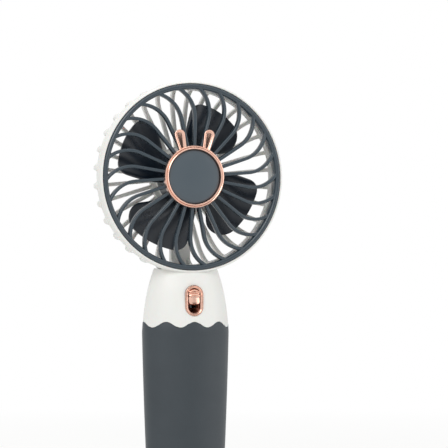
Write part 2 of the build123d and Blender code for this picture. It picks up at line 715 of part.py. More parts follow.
def make_impeller():
    """Cup-shaped hub over the motor with twisted blades, pressed on the shaft."""
    hub = turned(
        (HUB_BORE_R, HUB_BACK_F), (HUB_R, HUB_BACK_F), (HUB_R, HUB_FRONT_F - HUB_EDGE_R),
        (HUB_R - HUB_EDGE_R, HUB_FRONT_F), (SHAFT_R + RUN, HUB_FRONT_F), (SHAFT_R + RUN, BOSS_F),
        (BOSS_R, BOSS_F), (BOSS_R, HUB_INNER_F), (HUB_BORE_R, HUB_INNER_F),
    )
    middle = (BLADE_LEADING[1][1] + BLADE_TRAILING[3][1]) / 3
    petal = extrude(blade_outline(), amount=FAR / 4, both=True)
    blade = (Rot(0, 0, middle) * blade_sheet()) & petal
    pitch = 360 / BLADES
    blades = [Rot(0, 0, BLADE_PHASE + pitch * index) * blade for index in range(BLADES)]
    return HEAD * (hub + blades)


# ---------------------------------------------------------------- motor

def make_motor_can():
    """Drawn steel can with a bearing nose in front, open at the back."""
    inner = MOTOR_R - MOTOR_WALL
    front = MOTOR_FRONT_F
    nose_bore = NOSE_R - MOTOR_WALL
    return HEAD * turned(
        (inner, MOTOR_BACK_F), (MOTOR_R, MOTOR_BACK_F), (MOTOR_R, front), (NOSE_R, front),
        (NOSE_R, front + NOSE_H), (nose_bore, front + NOSE_H), (nose_bore, front - MOTOR_WALL),
        (inner, front - MOTOR_WALL),
    )


def make_motor_end_cap():
    """Moulded cap that closes the can's back and holds the brushes and the rear bush."""
    inner = MOTOR_R - MOTOR_WALL - FIT
    bush_bore = NOSE_R - MOTOR_WALL
    cap = turned(
        (bush_bore, MOTOR_BACK_F), (inner, MOTOR_BACK_F), (inner, MOTOR_BACK_F + MOTOR_CAP_T),
        (bush_bore, MOTOR_BACK_F + MOTOR_CAP_T),
    )
    slot = Box(BRUSH_T + 2 * FIT, BRUSH_W + 2 * FIT, 3 * MOTOR_CAP_T)
    slots = [Pos(side * brush_x(), tab_y(), MOTOR_BACK_F) * slot for side in (-1, 1)]
    return HEAD * (cap - slots)


def brush_x():
    """Brush leaves stand just outside the commutator."""
    return COMMUTATOR_R + 2 * RUN + BRUSH_T / 2


def tab_y():
    """Solder tabs lie between the bush and the can's wall, on the side of the lead duct."""
    return -(NOSE_R + MOTOR_R - MOTOR_WALL) / 2


def make_motor_brushes():
    """Two leaves from the solder tabs behind the cap to the commutator's sides."""
    leaves = []
    reach_f = MOTOR_BACK_F + MOTOR_CAP_T + COMMUTATOR_L + 0.4
    for side in (-1, 1):
        tail = MOTOR_BACK_F - 1.0
        stem = Pos(side * brush_x(), tab_y(), (tail + reach_f) / 2) * Box(
            BRUSH_T, BRUSH_W, reach_f - tail
        )
        low = MOTOR_BACK_F + MOTOR_CAP_T + FIT
        top = 1.2
        leaf = Pos(side * brush_x(), (tab_y() + top) / 2, (low + reach_f) / 2) * Box(
            BRUSH_T, top - tab_y(), reach_f - low
        )
        leaves.append(HEAD * (stem + leaf))
    return Compound(children=leaves)


def make_motor_magnets():
    """Two curved magnets against the can's wall."""
    outer = MOTOR_R - MOTOR_WALL - FIT / 2
    magnets = []
    for start in (-MAGNET_ARC / 2, 180 - MAGNET_ARC / 2):
        low = MOTOR_BACK_F + MOTOR_CAP_T + 1.5
        high = MOTOR_FRONT_F - MOTOR_WALL - 0.5
        inner = outer - MAGNET_T
        corners = [(inner, 0, low), (outer, 0, low), (outer, 0, high), (inner, 0, high)]
        profile = make_face(Polyline(corners, close=True))
        magnets.append(HEAD * (Rot(0, 0, start) * revolve(profile, Axis.Z, MAGNET_ARC)))
    return Compound(children=magnets)


def make_motor_bushes():
    """Two bronze bushes, in the can's nose and in the end cap."""
    outer = NOSE_R - MOTOR_WALL - 0.02
    rear = (MOTOR_BACK_F + FIT, MOTOR_BACK_F + MOTOR_CAP_T)
    front = (MOTOR_FRONT_F - MOTOR_WALL, MOTOR_FRONT_F + NOSE_H)
    bushes = [
        HEAD * turned((SHAFT_R + RUN, low), (outer, low), (outer, high), (SHAFT_R + RUN, high))
        for low, high in (rear, front)
    ]
    return Compound(children=bushes)


def core_span():
    """Back and front of the rotor's laminated core."""
    middle = (MOTOR_BACK_F + MOTOR_CAP_T + COMMUTATOR_L + MOTOR_FRONT_F - MOTOR_WALL) / 2
    return (middle - CORE_STACK / 2, middle + CORE_STACK / 2)


def make_rotor_core():
    """Three-pole laminated core, each pole a neck with a wide curved shoe."""
    low, high = core_span()
    pitch = 360 / POLES
    ring = Circle(CORE_R) - Circle(CORE_R - SHOE_T)
    gap = Pos(CORE_R, 0) * Rectangle(4 * SHOE_T, SHOE_GAP)
    neck = Pos(CORE_R / 2, 0) * Rectangle(CORE_R - SHOE_T / 2, POLE_NECK_W)
    gaps = [Rot(0, 0, pitch * (index + 0.5)) * gap for index in range(POLES)]
    necks = [Rot(0, 0, pitch * index) * neck for index in range(POLES)]
    face = (ring - gaps) + [Circle(POLE_HUB_R), *necks]
    face -= Circle(SHAFT_R + RUN)
    return HEAD * extrude(Pos(0, 0, low) * face, amount=high - low)


def make_rotor_windings():
    """A coil of wire round each pole's neck."""
    low, high = core_span()
    outer = CORE_R - SHOE_T - 5 * FIT
    inner = POLE_HUB_R + 7 * FIT
    bore_w = POLE_NECK_W + 2 * FIT
    bore_h = high - low + 2 * FIT
    coil_l = outer - inner - 2 * FIT
    coil = Box(coil_l, bore_w + 2 * COIL_T, bore_h + 2 * COIL_END) - Box(outer, bore_w, bore_h)
    coils = []
    for index in range(POLES):
        place = Rot(0, 0, 360 / POLES * index) * Pos((outer + inner) / 2, 0, (low + high) / 2)
        coils.append(HEAD * (place * coil))
    return Compound(children=coils)


def make_commutator():
    """Round commutator between the rear bush and the core."""
    low = MOTOR_BACK_F + MOTOR_CAP_T + 2 * FIT
    high = low + COMMUTATOR_L
    bore = SHAFT_R + RUN
    drum = turned((bore, low), (COMMUTATOR_R, low), (COMMUTATOR_R, high), (bore, high))
    slot = Pos(COMMUTATOR_R, 0, low) * Box(1.0, 0.3, 3 * COMMUTATOR_L)
    slots = [Rot(0, 0, 360 / POLES * (index + 0.5)) * slot for index in range(POLES)]
    return HEAD * (drum - slots)


def make_motor_shaft():
    """Steel shaft from the rear bush into the impeller's boss."""
    low = MOTOR_BACK_F + FIT
    high = HUB_FRONT_F - 0.3
    return HEAD * (Pos(0, 0, (low + high) / 2) * Cylinder(SHAFT_R, high - low))


# ---------------------------------------------------------------- switch

def make_switch_bezel():
    """Metallic frame of the switch, with its sunk track and a flange inside the neck."""
    flange_front = -(SHOULDER_DEPTH - NECK_T) + 1.0
    depth = flange_front - BEZEL_FACE_Y + FLANGE_T
    frame = obround(BEZEL_W, BEZEL_H, BEZEL_FACE_Y, depth)
    frame += obround(BEZEL_W + 2 * BEZEL_FLANGE, BEZEL_H + 2 * BEZEL_FLANGE, flange_front, FLANGE_T)
    front_edges = frame.faces().sort_by(Axis.Y)[0].edges()
    frame = fillet(front_edges, 0.45)
    frame -= obround(BEZEL_OPENING_W, BEZEL_OPENING_H, BEZEL_FACE_Y - 1, TRACK_Y - BEZEL_FACE_Y + 1)
    frame -= obround(BEZEL_OPENING_W, BEZEL_OPENING_H, TRACK_Y + TRACK_T, depth)
    slot = Box(LEVER_W + 2 * SLIDE, FAR / 4, LEVER_H + SWITCH_TRAVEL + 2 * SLIDE)
    return frame - Pos(0, 0, SWITCH_Z) * slot


def knob_z():
    """Height of the knob's middle at rest, at the top of its travel."""
    return SWITCH_Z + SWITCH_TRAVEL / 2


def make_slider_knob():
    """Thumb piece with two cross ridges and a dish between them."""
    back = TRACK_Y - 0.2
    face = BEZEL_FACE_Y + 0.5
    half = KNOB_H / 2
    dish = half - RIDGE_H
    crest = half - RIDGE_H / 2
    edges = [
        Line((0, back, -half), (0, face, -half)),
        ThreePointArc((0, face, -half), (0, face - KNOB_RIDGE, -crest), (0, face, -dish)),
        ThreePointArc((0, face, -dish), (0, face + DISH, 0), (0, face, dish)),
        ThreePointArc((0, face, dish), (0, face - KNOB_RIDGE, crest), (0, face, half)),
        Line((0, face, half), (0, back, half)),
        Line((0, back, half), (0, back, -half)),
    ]
    bar = extrude(make_face(edges), amount=KNOB_W / 2, both=True)
    outline = Plane(origin=(0, -FAR / 4, 0), x_dir=(1, 0, 0), z_dir=(0, 1, 0)) * RectangleRounded(
        KNOB_W, KNOB_H, 1.6
    )
    knob = Pos(0, 0, knob_z()) * (bar & extrude(outline, amount=FAR / 2))
    socket = Pos(0, back, knob_z()) * Box(LEVER_W + 2 * RUN, 2 * 1.2, LEVER_H + 2 * RUN)
    return knob - socket


def switch_front_y():
    return BOARD_Y - SWITCH_BODY_D


def make_switch_lever():
    """The switch's own slider, whose stem plugs into the knob."""
    front = TRACK_Y - 0.2 - 1.0
    back = switch_front_y() + 1.6
    return Pos(0, (front + back) / 2, knob_z()) * Box(LEVER_W, back - front, LEVER_H)


def make_slide_switch():
    """Switch housing on the board, open in front where its slider runs."""
    middle = (switch_front_y() + BOARD_Y) / 2
    body = Pos(0, middle, SWITCH_Z) * Box(SWITCH_BODY_W, SWITCH_BODY_D, SWITCH_BODY_H)
    body = fillet(body.edges().filter_by(Axis.Y), 0.5)
    window = Box(LEVER_W + 2 * FIT, 2 * 1.9, LEVER_H + SWITCH_TRAVEL + 2 * SLIDE)
    return body - Pos(0, switch_front_y(), SWITCH_Z) * window


# ---------------------------------------------------------------- board, socket and light

def make_circuit_board():
    """Green board across the neck, behind the switch."""
    board = Pos(0, BOARD_Y + BOARD_T / 2, SWITCH_Z) * Box(BOARD_W, BOARD_T, BOARD_H)
    board = chamfer(board.edges().filter_by(Axis.Y), 1.0)
    holes = [
        round_bar(BOARD_SCREW_R + FIT, (x, BOARD_Y - 1, height), (0, 1, 0), BOARD_T + 2)
        for x, height in board_posts()
    ]
    return board - holes


def make_board_screws():
    """Two small screws through the board into the rear shell's posts."""
    screws = []
    for x, height in board_posts():
        head = round_bar(1.5, (x, BOARD_Y - 1.0, height), (0, 1, 0), 1.0)
        shank = round_bar(BOARD_SCREW_R, (x, BOARD_Y - 0.1, height), (0, 1, 0), BOARD_T + 5.0)
        screws.append(head + shank)
    return Compound(children=screws)


def make_board_parts():
    """Charger chip, control chip, coil and two capacitors on the board's back."""
    back = BOARD_Y + BOARD_T
    bottom = board_bottom()
    sizes = (
        (-6.0, 12.6, 4.9, 1.5, 3.9),
        (6.3, 12.6, 4.9, 1.5, 3.9),
        (6.0, 18.6, 4.0, 2.4, 4.0),
        (-3.0, 17.8, 1.2, 0.8, 2.0),
        (3.0, 17.8, 1.2, 0.8, 2.0),
    )
    blocks = [
        Pos(x, back + depth / 2, bottom + up) * Box(width, depth, height)
        for x, up, width, depth, height in sizes
    ]
    return Compound(children=blocks)


def make_usb_socket():
    """Upright charging socket: an obround sleeve with a tongue, on the board's back."""
    start = BOARD_Y + BOARD_T
    end = depth_at(socket_height(), 3) - SOCKET_RECESS
    plane = Plane(origin=(0, start, socket_height()), x_dir=(1, 0, 0), z_dir=(0, 1, 0))
    inner_w = SOCKET_W - 2 * SOCKET_WALL
    inner_h = SOCKET_H - 2 * SOCKET_WALL
    shell = extrude(plane * SlotOverall(SOCKET_W, SOCKET_H), amount=end - start)
    mouth = extrude(plane.offset(2.0) * SlotOverall(inner_w, inner_h), amount=end - start)
    tongue = extrude(plane.offset(1.5) * Rectangle(6.7, 0.7), amount=end - start - 2.5)
    return (shell - mouth) + tongue


def make_charge_light():
    """Light guide from the board to the rear wall."""
    start = BOARD_Y + BOARD_T
    end = depth_at(light_height(), 3) - 0.1
    return round_bar(LIGHT_R, (0, start, light_height()), (0, 1, 0), end - start)


# ---------------------------------------------------------------- cell and leads

def make_battery_cell():
    """Round lithium cell with a raised positive end."""
    body = Pos(0, 0, CELL_Z + CELL_L / 2) * Cylinder(CELL_R, CELL_L)
    groove = turned_upright(
        (CELL_R - 0.5, CELL_L - 4.6), (CELL_R + 1, CELL_L - 5.1), (CELL_R + 1, CELL_L - 4.1)
    )
    return body - groove


def turned_upright(*points):
    """Ring about the handle's axis from (radius, height above the cell's lower end) corners."""
    profile = make_face(Polyline([(radius, 0, CELL_Z + up) for radius, up in points], close=True))
    return revolve(profile, Axis.Z)


def make_cell_tab(height):
    """Nickel strip across one end of the cell."""
    return Pos(-TAB_OFFSET, 0, height) * Box(TAB_L, TAB_W, TAB_T)


def make_cell_foam_pads(room):
    """Foam pads that hold the cell between the two shells."""
    middle = CELL_Z + CELL_L / 2
    cell = Pos(0, 0, middle) * Cylinder(CELL_R + FIT, CELL_L)
    rib = Pos(0, 0, middle) * Box(PAD_W + 2, FAR, CRADLE_RIB_T + 1.0)
    blocks = [Pos(0, side * FAR / 4, middle) * Box(PAD_W, FAR / 2, PAD_H) for side in (-1, 1)]
    pads = [(block & room) - cell - rib for block in blocks]
    solids = [solid for pad in pads for solid in pad.solids()]
    return Compound(children=solids)


def lead(radius, bend, *points):
    """Insulated lead along straight runs joined by round bends."""
    path = FilletPolyline(points, radius=bend)
    first = Plane(origin=path @ 0, z_dir=path % 0)
    tube = sweep(first * Circle(radius), path=path)
    ratio = tube.volume / (math.pi * radius ** 2 * path.length)
    print("lead", round(path.length, 1), "mm, bend", bend, "volume ratio", round(ratio, 4))
    return tube


def make_motor_lead(side):
    """From a motor tab down the strut's duct into the neck and to the board's back."""
    x = side * MOTOR_LEAD_X
    top = HEAD_Z + tab_y() - BRUSH_W / 2 - 0.05
    board_back = BOARD_Y + BOARD_T + 0.05
    low = board_bottom() + BOARD_H - 1.2 - 1.5 * (side > 0)
    return lead(LEAD_R, 2.5, (x, -DUCT_F, top), (x, -DUCT_F, low), (x, board_back, low))


def cell_lead_lane():
    """Plan position of the lead that runs beside the cell."""
    reach = CELL_R + 1.75
    return (-reach * math.cos(math.radians(30)), reach * math.sin(math.radians(30)))


def make_cell_lead_red():
    """From the upper tab to the board's front, beside the switch."""
    x = SWITCH_BODY_W / 2 - 0.8
    start = CELL_Z + CELL_L + TAB_T + 0.05
    height = board_bottom() + 1.2
    return lead(LEAD_R, 1.5, (x, -3.0, start), (x, -3.0, height), (x, BOARD_Y - 0.05, height))


def make_cell_lead_black():
    """From the lower tab up beside the cell to the board's back."""
    x, y = cell_lead_lane()
    start = CELL_Z - TAB_T - 0.05
    under = CAVITY_FLOOR + 1.2
    height = board_bottom() + 1.6
    return lead(
        LEAD_R, 1.2, (-4.0, 1.2, start), (-4.0, 1.2, under), (x, y, under), (x, y, height),
        (x, BOARD_Y + BOARD_T + 0.05, height),
    )


# ---------------------------------------------------------------- all pieces

def build():
    walls = shell_walls()
    room = inner_room(0.4)
    pad_room = inner_room(-FIT)
    return {
        "front_shell": make_front_shell(walls, room),
        "rear_shell": make_rear_shell(walls, room),
        "grip_sleeve": make_grip_sleeve(),
        "shell_screws": make_shell_screws(),
        "rear_grille": make_rear_grille(),
        "front_grille": make_front_grille(),
        "ear_ring": make_ear_ring(),
        "centre_cap": make_centre_cap(),
        "impeller": make_impeller(),
        "motor_can": make_motor_can(),
        "motor_end_cap": make_motor_end_cap(),
        "motor_brushes": make_motor_brushes(),
        "motor_magnets": make_motor_magnets(),
        "motor_bushes": make_motor_bushes(),
        "motor_shaft": make_motor_shaft(),
        "rotor_core": make_rotor_core(),
        "rotor_windings": make_rotor_windings(),
        "commutator": make_commutator(),
        "switch_bezel": make_switch_bezel(),
        "slider_knob": make_slider_knob(),
        "switch_lever": make_switch_lever(),
        "slide_switch": make_slide_switch(),
        "circuit_board": make_circuit_board(),
        "board_screws": make_board_screws(),
        "board_parts": make_board_parts(),
        "usb_socket": make_usb_socket(),
        "charge_light": make_charge_light(),
        "battery_cell": make_battery_cell(),
        "cell_tab_positive": make_cell_tab(CELL_Z + CELL_L + TAB_T / 2),
        "cell_tab_negative": make_cell_tab(CELL_Z - TAB_T / 2),
        "cell_foam_pads": make_cell_foam_pads(pad_room),
        "motor_lead_red": make_motor_lead(-1),
        "motor_lead_black": make_motor_lead(1),
        "cell_lead_red": make_cell_lead_red(),
        "cell_lead_black": make_cell_lead_black(),
    }


os.makedirs("parts", exist_ok=True)
for node, shape in build().items():
    export_step(shape, f"parts/{node}.step")
    box = shape.bounding_box()
    print(node, "volume", round(shape.volume, 1), "size", [round(v, 1) for v in box.size])
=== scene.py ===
# %% [markdown]
# # A rechargeable hand-held fan
# This notebook dresses a small fan: a round head with a swirl grille, a white neck with a slide
# switch, and a dark grip with a wavy upper edge. The engineering model is loaded first and stays
# as it is. Everything that the eye meets is then modelled over it with Blender's own tools, as
# one would by hand, and every piece gets a finish that is built from nodes.

# %% Load the engineering model
import math

import bmesh
import bpy
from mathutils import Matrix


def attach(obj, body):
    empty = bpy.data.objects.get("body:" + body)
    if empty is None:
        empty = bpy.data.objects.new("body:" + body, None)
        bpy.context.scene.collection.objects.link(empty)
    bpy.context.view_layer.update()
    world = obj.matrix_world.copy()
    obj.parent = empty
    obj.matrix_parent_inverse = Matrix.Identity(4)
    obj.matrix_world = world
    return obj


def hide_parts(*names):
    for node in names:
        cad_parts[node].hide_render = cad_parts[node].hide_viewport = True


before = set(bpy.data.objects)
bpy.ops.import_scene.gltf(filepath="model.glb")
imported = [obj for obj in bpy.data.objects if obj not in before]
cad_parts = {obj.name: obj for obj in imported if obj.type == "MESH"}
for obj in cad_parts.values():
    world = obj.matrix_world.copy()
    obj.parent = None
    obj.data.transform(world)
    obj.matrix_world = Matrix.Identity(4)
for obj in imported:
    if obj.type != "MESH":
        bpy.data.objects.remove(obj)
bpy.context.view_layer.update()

# %% [markdown]
# ## Sizes
# All sizes are written in millimetres and turned to metres by MM. The head's axis runs along Y at
# the height of HEAD_Z, and the fan blows towards -Y. A place on the head is given by its radius
# and by how far forward it lies, so forward 12 means Y = -12 mm.

# %% Sizes that several pieces share
MM = 0.001
HEAD_Z = 160.0
HEAD_CENTRE = (0.0, 0.0, HEAD_Z * MM)
FULL_TURN = 2 * math.pi
BAND_BACK = 5.0
LIP_FRONT = 12.0
GRILLE_R = 48.7
CAGE_R = 50.3
CAGE_BACK = -12.5
CAP_SEAT = 13.3
GRIP_TOP = 83.0
WAVE_RISE = 1.5
SWITCH_Z = 95.5
BEZEL_FACE = 15.0


def head_point(radius, forward):
    """A place on the head's right-hand side, in metres."""
    return (radius * MM, -forward * MM, HEAD_Z * MM)


print("head axis at", HEAD_Z, "mm, grille", 2 * GRILLE_R, "mm across")

# %% [markdown]
# ## Small tools
# Blender's operators act on whatever is selected, so each piece starts by clearing the selection.
# A modifier is applied at once, so that the mesh which is seen is the mesh that is kept.

# %% Selecting and finishing
def clear_selection():
    if bpy.context.object and bpy.context.object.mode != "OBJECT":
        bpy.ops.object.mode_set(mode="OBJECT")
    bpy.ops.object.select_all(action="DESELECT")


def use_only(piece):
    clear_selection()
    piece.select_set(True)
    bpy.context.view_layer.objects.active = piece


def name_piece(name):
    """Names the primitive that was just added and moves its place into its mesh."""
    piece = bpy.context.object
    piece.name = piece.data.name = name
    bpy.ops.object.transform_apply(location=True, rotation=True, scale=True)
    return piece


def pick(piece, kind, test):
    """In edit mode, selects only the vertices, edges or faces whose middle passes the test."""
    bpy.ops.mesh.select_mode(type=kind)
    bpy.ops.mesh.select_all(action="DESELECT")
    mesh = bmesh.from_edit_mesh(piece.data)
    for part in {"VERT": mesh.verts, "EDGE": mesh.edges, "FACE": mesh.faces}[kind]:
        corners = [part] if kind == "VERT" else part.verts
        middle = sum((corner.co for corner in corners), corners[0].co * 0) / len(corners) / MM
        part.select_set(test(middle))
    mesh.select_flush_mode()
    bmesh.update_edit_mesh(piece.data)


def push(x=0.0, y=0.0, z=0.0):
    """In edit mode, extrudes the selection by a step in millimetres."""
    bpy.ops.mesh.extrude_region_move(TRANSFORM_OT_translate={"value": (x * MM, y * MM, z * MM)})


def shift(x=0.0, y=0.0, z=0.0):
    """In edit mode, moves the selection by a step in millimetres."""
    bpy.ops.transform.translate(value=(x * MM, y * MM, z * MM))


def rectangle(name, place, size, turn=(0.0, 0.0, 0.0)):
    """Flat rectangle at a place in metres, with its two sides in millimetres."""
    clear_selection()
    bpy.ops.mesh.primitive_plane_add(size=1.0, location=place, rotation=turn)
    bpy.context.object.scale = (size[0] * MM, size[1] * MM, 1.0)
    return name_piece(name)


def block(name, centre, size):
    """Box from its middle and its size, both in millimetres."""
    clear_selection()
    bpy.ops.mesh.primitive_cube_add(size=1.0, location=[v * MM for v in centre])
    bpy.context.object.scale = [v * MM for v in size]
    return name_piece(name)


def through(table, spot):
    """Values at a spot on the smooth curve that passes through every row of a table."""
    values = [0.0] * (len(table[0]) - 1)
    for this in table:
        share = 1.0
        for other in table:
            if other is not this:
                share *= (spot - other[0]) / (this[0] - other[0])
        values = [value + share * given for value, given in zip(values, this[1:])]
    return values


def apply_modifier(piece, kind, **settings):
    use_only(piece)
    modifier = piece.modifiers.new(kind.title(), kind)
    for name, value in settings.items():
        setattr(modifier, name, value)
    bpy.ops.object.modifier_apply(modifier=modifier.name)


def soften(piece, width, segments=2, angle=35):
    """Rounds every edge that is sharper than the angle, as a mould does."""
    apply_modifier(
        piece, "BEVEL", width=width * MM, segments=segments, limit_method="ANGLE",
        angle_limit=math.radians(angle), use_clamp_overlap=True,
    )


def cut_away(piece, cutter, keep="DIFFERENCE"):
    """Takes the cutter's shape out of the piece and removes the cutter."""
    apply_modifier(piece, "BOOLEAN", operation=keep, object=cutter, solver="EXACT")
    bpy.data.objects.remove(cutter)


def join(pieces):
    clear_selection()
    for piece in pieces:
        piece.select_set(True)
    bpy.context.view_layer.objects.active = pieces[0]
    bpy.ops.object.join()
    return pieces[0]


def finish_piece(piece, body, finish, nodes, angle=35):
    """Shades the piece, gives it its finish, and lets it stand for the named nodes."""
    use_only(piece)
    bpy.ops.object.shade_smooth_by_angle(angle=math.radians(angle))
    piece.data.materials.clear()
    piece.data.materials.append(finish)
    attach(piece, body)
    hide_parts(*nodes)
    triangles = sum(len(face.vertices) - 2 for face in piece.data.polygons)
    print(piece.name, "stands for", ", ".join(nodes), "with", triangles, "triangles")


print("tools ready")

# %% [markdown]
# ## Camera
# The picture is taken from 1.5 m with a long lens, about 19 degrees to the fan's own right, so the
# left edge of the band shows its thickness. The lens is worked out from the fan's size in the
# picture: 1.919 pixels for a millimetre at the grille, in an image of 448 pixels.

# %% Camera
PICTURE = 448
PIXELS_PER_MM = 1.919
CAMERA_DISTANCE = 1500.0
AZIMUTH = math.radians(-19.3)
ELEVATION = math.radians(-0.8)
back = (
    math.sin(AZIMUTH) * math.cos(ELEVATION),
    -math.cos(AZIMUTH) * math.cos(ELEVATION),
    math.sin(ELEVATION),
)
right = (math.cos(AZIMUTH), math.sin(AZIMUTH), 0.0)
up = (
    -math.sin(AZIMUTH) * math.sin(ELEVATION),
    math.cos(AZIMUTH) * math.sin(ELEVATION),
    math.cos(ELEVATION),
)
ring_centre = (0.0, -LIP_FRONT, HEAD_Z)
shift_right, shift_down = 16.26, 24.57
camera_spot = [
    (ring_centre[k] + right[k] * shift_right - up[k] * shift_down + back[k] * CAMERA_DISTANCE) * MM
    for k in range(3)
]
bpy.ops.object.camera_add(location=camera_spot)
camera = bpy.context.object
camera.rotation_euler = (math.pi / 2 - ELEVATION, 0.0, AZIMUTH)
camera.data.sensor_width = 36.0
camera.data.lens = PIXELS_PER_MM * CAMERA_DISTANCE / PICTURE * camera.data.sensor_width
camera.data.clip_start, camera.data.clip_end = 0.05, 50.0
bpy.context.scene.camera = camera
bpy.context.scene.view_settings.view_transform = "Standard"
print("lens", round(camera.data.lens, 1), "mm at", [round(v, 3) for v in camera_spot], "m")

# %% [markdown]
# ## Finishes
# A colour is written as the hex value that is seen on a screen, and one function turns it to the
# linear values that Blender works with. One more function adds a node: its settings are the
# node's own, and its values fill its sockets, where a value that is a socket makes a link.

# %% Colour and node helpers
def linear(code):
    """An sRGB hex colour as the linear colour that a socket takes."""
    shares = [int(code[k:k + 2], 16) / 255 for k in (1, 3, 5)]
    curve = [s / 12.92 if s <= 0.04045 else ((s + 0.055) / 1.055) ** 2.4 for s in shares]
    return (*curve, 1.0)


def add_node(tree, kind, values=None, **settings):
    node = tree.nodes.new(kind)
    for name, value in settings.items():
        setattr(node, name, value)
    for name, value in (values or {}).items():
        if isinstance(value, bpy.types.NodeSocket):
            tree.links.new(value, node.inputs[name])
        else:
            node.inputs[name].default_value = value
    return node


def new_finish(name):
    """An empty material, its node tree, its output and the object's own coordinates."""
    finish = bpy.data.materials.new(name)
    finish.use_nodes = True
    tree = finish.node_tree
    tree.nodes.clear()
    output = add_node(tree, "ShaderNodeOutputMaterial")
    place = add_node(tree, "ShaderNodeTexCoord").outputs["Object"]
    return finish, tree, output, place


print("white shell's linear colour", [round(v, 3) for v in linear("#E6E6E3")])

# %% [markdown]
# ### Moulded plastics
# Most of the fan is ABS that was moulded in a spark-eroded tool. The tool leaves a grain of a
# tenth of a millimetre, which is finer than a pixel here, so it is drawn at half a millimetre and
# shallow, where it only breaks up the highlights. A slow cloud of the same colour, some
# centimetres wide, stands for the flow of the melt and for handling.

# %% Moulded plastics
def moulded(name, light, shade, roughness, grain=0.5, relief=0.012, cloud=14.0, **extra):
    """Moulded plastic between two close shades, with a grain in millimetres."""
    finish, tree, output, place = new_finish(name)
    flow = add_node(tree, "ShaderNodeTexNoise", {
        "Vector": place, "Scale": 1 / (cloud * MM), "Detail": 3.0,
    })
    # Sockets 6 and 7 of a colour mix are its two colours, and output 2 is the result
    colour = add_node(
        tree, "ShaderNodeMix", {0: flow.outputs["Fac"], 6: linear(light), 7: linear(shade)},
        data_type="RGBA",
    )
    rough = add_node(tree, "ShaderNodeMapRange", {
        "Value": flow.outputs["Fac"], "To Min": roughness - 0.05, "To Max": roughness + 0.05,
    })
    grit = add_node(tree, "ShaderNodeTexNoise", {
        "Vector": place, "Scale": 1 / (grain * MM), "Detail": 2.0,
    })
    bump = add_node(tree, "ShaderNodeBump", {
        "Height": grit.outputs["Fac"], "Strength": 1.0, "Distance": relief * MM,
    })
    sockets = {
        "Base Color": colour.outputs[2], "Roughness": rough.outputs["Result"],
        "Normal": bump.outputs["Normal"],
    }
    for socket, value in extra.items():
        sockets[socket.replace("_", " ").title().replace("Ior", "IOR")] = value
    shader = add_node(tree, "ShaderNodeBsdfPrincipled", sockets)
    tree.links.new(shader.outputs["BSDF"], output.inputs["Surface"])
    return finish


# Satin white ABS of the shells: bright, with a soft highlight and a little light inside it
white_abs = moulded(
    "satin_white_abs", "#E9E9E6", "#E3E3DF", 0.42, ior=1.54, subsurface_weight=0.06,
    subsurface_scale=1.2 * MM,
)
# Slate blue-grey ABS of the swirl grille: smooth enough that each rib carries a thin highlight
slate_abs = moulded(
    "satin_slate_abs", "#38444D", "#313C44", 0.26, grain=0.6, relief=0.006, ior=1.54,
)
# Matt slate disc in the middle of the grille
cap_abs = moulded("matt_slate_disc", "#4C575F", "#444F57", 0.38, grain=0.7, relief=0.01, ior=1.54)
# Blue-black ABS of the impeller, glossy because its mould is polished
impeller_abs = moulded(
    "polished_dark_abs", "#0C1B2A", "#091521", 0.28, grain=0.9, relief=0.004, ior=1.54,
)
# Soft-touch rubber skin of the grip: it scatters light wide and keeps a faint bloom at its edges
soft_touch = moulded(
    "soft_touch_grip", "#353D43", "#2D353B", 0.5, grain=0.8, relief=0.03, ior=1.5,
    sheen_weight=0.06, sheen_roughness=0.5,
)
# Black nylon of the inner mouldings
black_nylon = moulded("black_nylon", "#1B1C1E", "#151618", 0.5, grain=0.5, relief=0.01, ior=1.53)
# Grey silicone foam of the cell's pads: open and dull
pad_foam = moulded(
    "grey_foam", "#7C7F82", "#63666A", 0.9, grain=0.9, relief=0.25, cloud=1.5, ior=1.4,
)
# Shrink sleeve on the cell: thin, glossy, tight film
cell_film = moulded(
    "cell_shrink_film", "#3C7FA8", "#36749A", 0.22, grain=2.5, relief=0.01, ior=1.53,
)
# Insulation of the leads: soft PVC with a slight shine
red_pvc = moulded("red_pvc", "#B3261E", "#A8221B", 0.35, grain=0.8, relief=0.004, ior=1.53)
black_pvc = moulded("black_pvc", "#1E1F21", "#191A1C", 0.35, grain=0.8, relief=0.004, ior=1.53)
# Solder mask on the circuit board: a clear green lacquer over copper and glass cloth
solder_mask = moulded(
    "green_solder_mask", "#1F6B43", "#1A5E3A", 0.3, grain=1.2, relief=0.01, cloud=4.0, ior=1.5,
    coat_weight=0.4, coat_roughness=0.15,
)
# Sintered ferrite of the magnets: dull charcoal
ferrite = moulded("sintered_ferrite", "#3A3B3D", "#303133", 0.7, grain=0.4, relief=0.02, ior=2.2)
print("moulded finishes:", len(bpy.data.materials))

# %% [markdown]
# ### Metals
# A metal's colour is the colour of its highlight. The pink ring, the ears and the switch are
# plastic under a film of metal that was laid on in a vacuum and lacquered, so they are smooth and
# mirror-like with only a breath of haze. The motor's parts are real metal: drawn steel with faint
# streaks, bronze, copper and nickel.

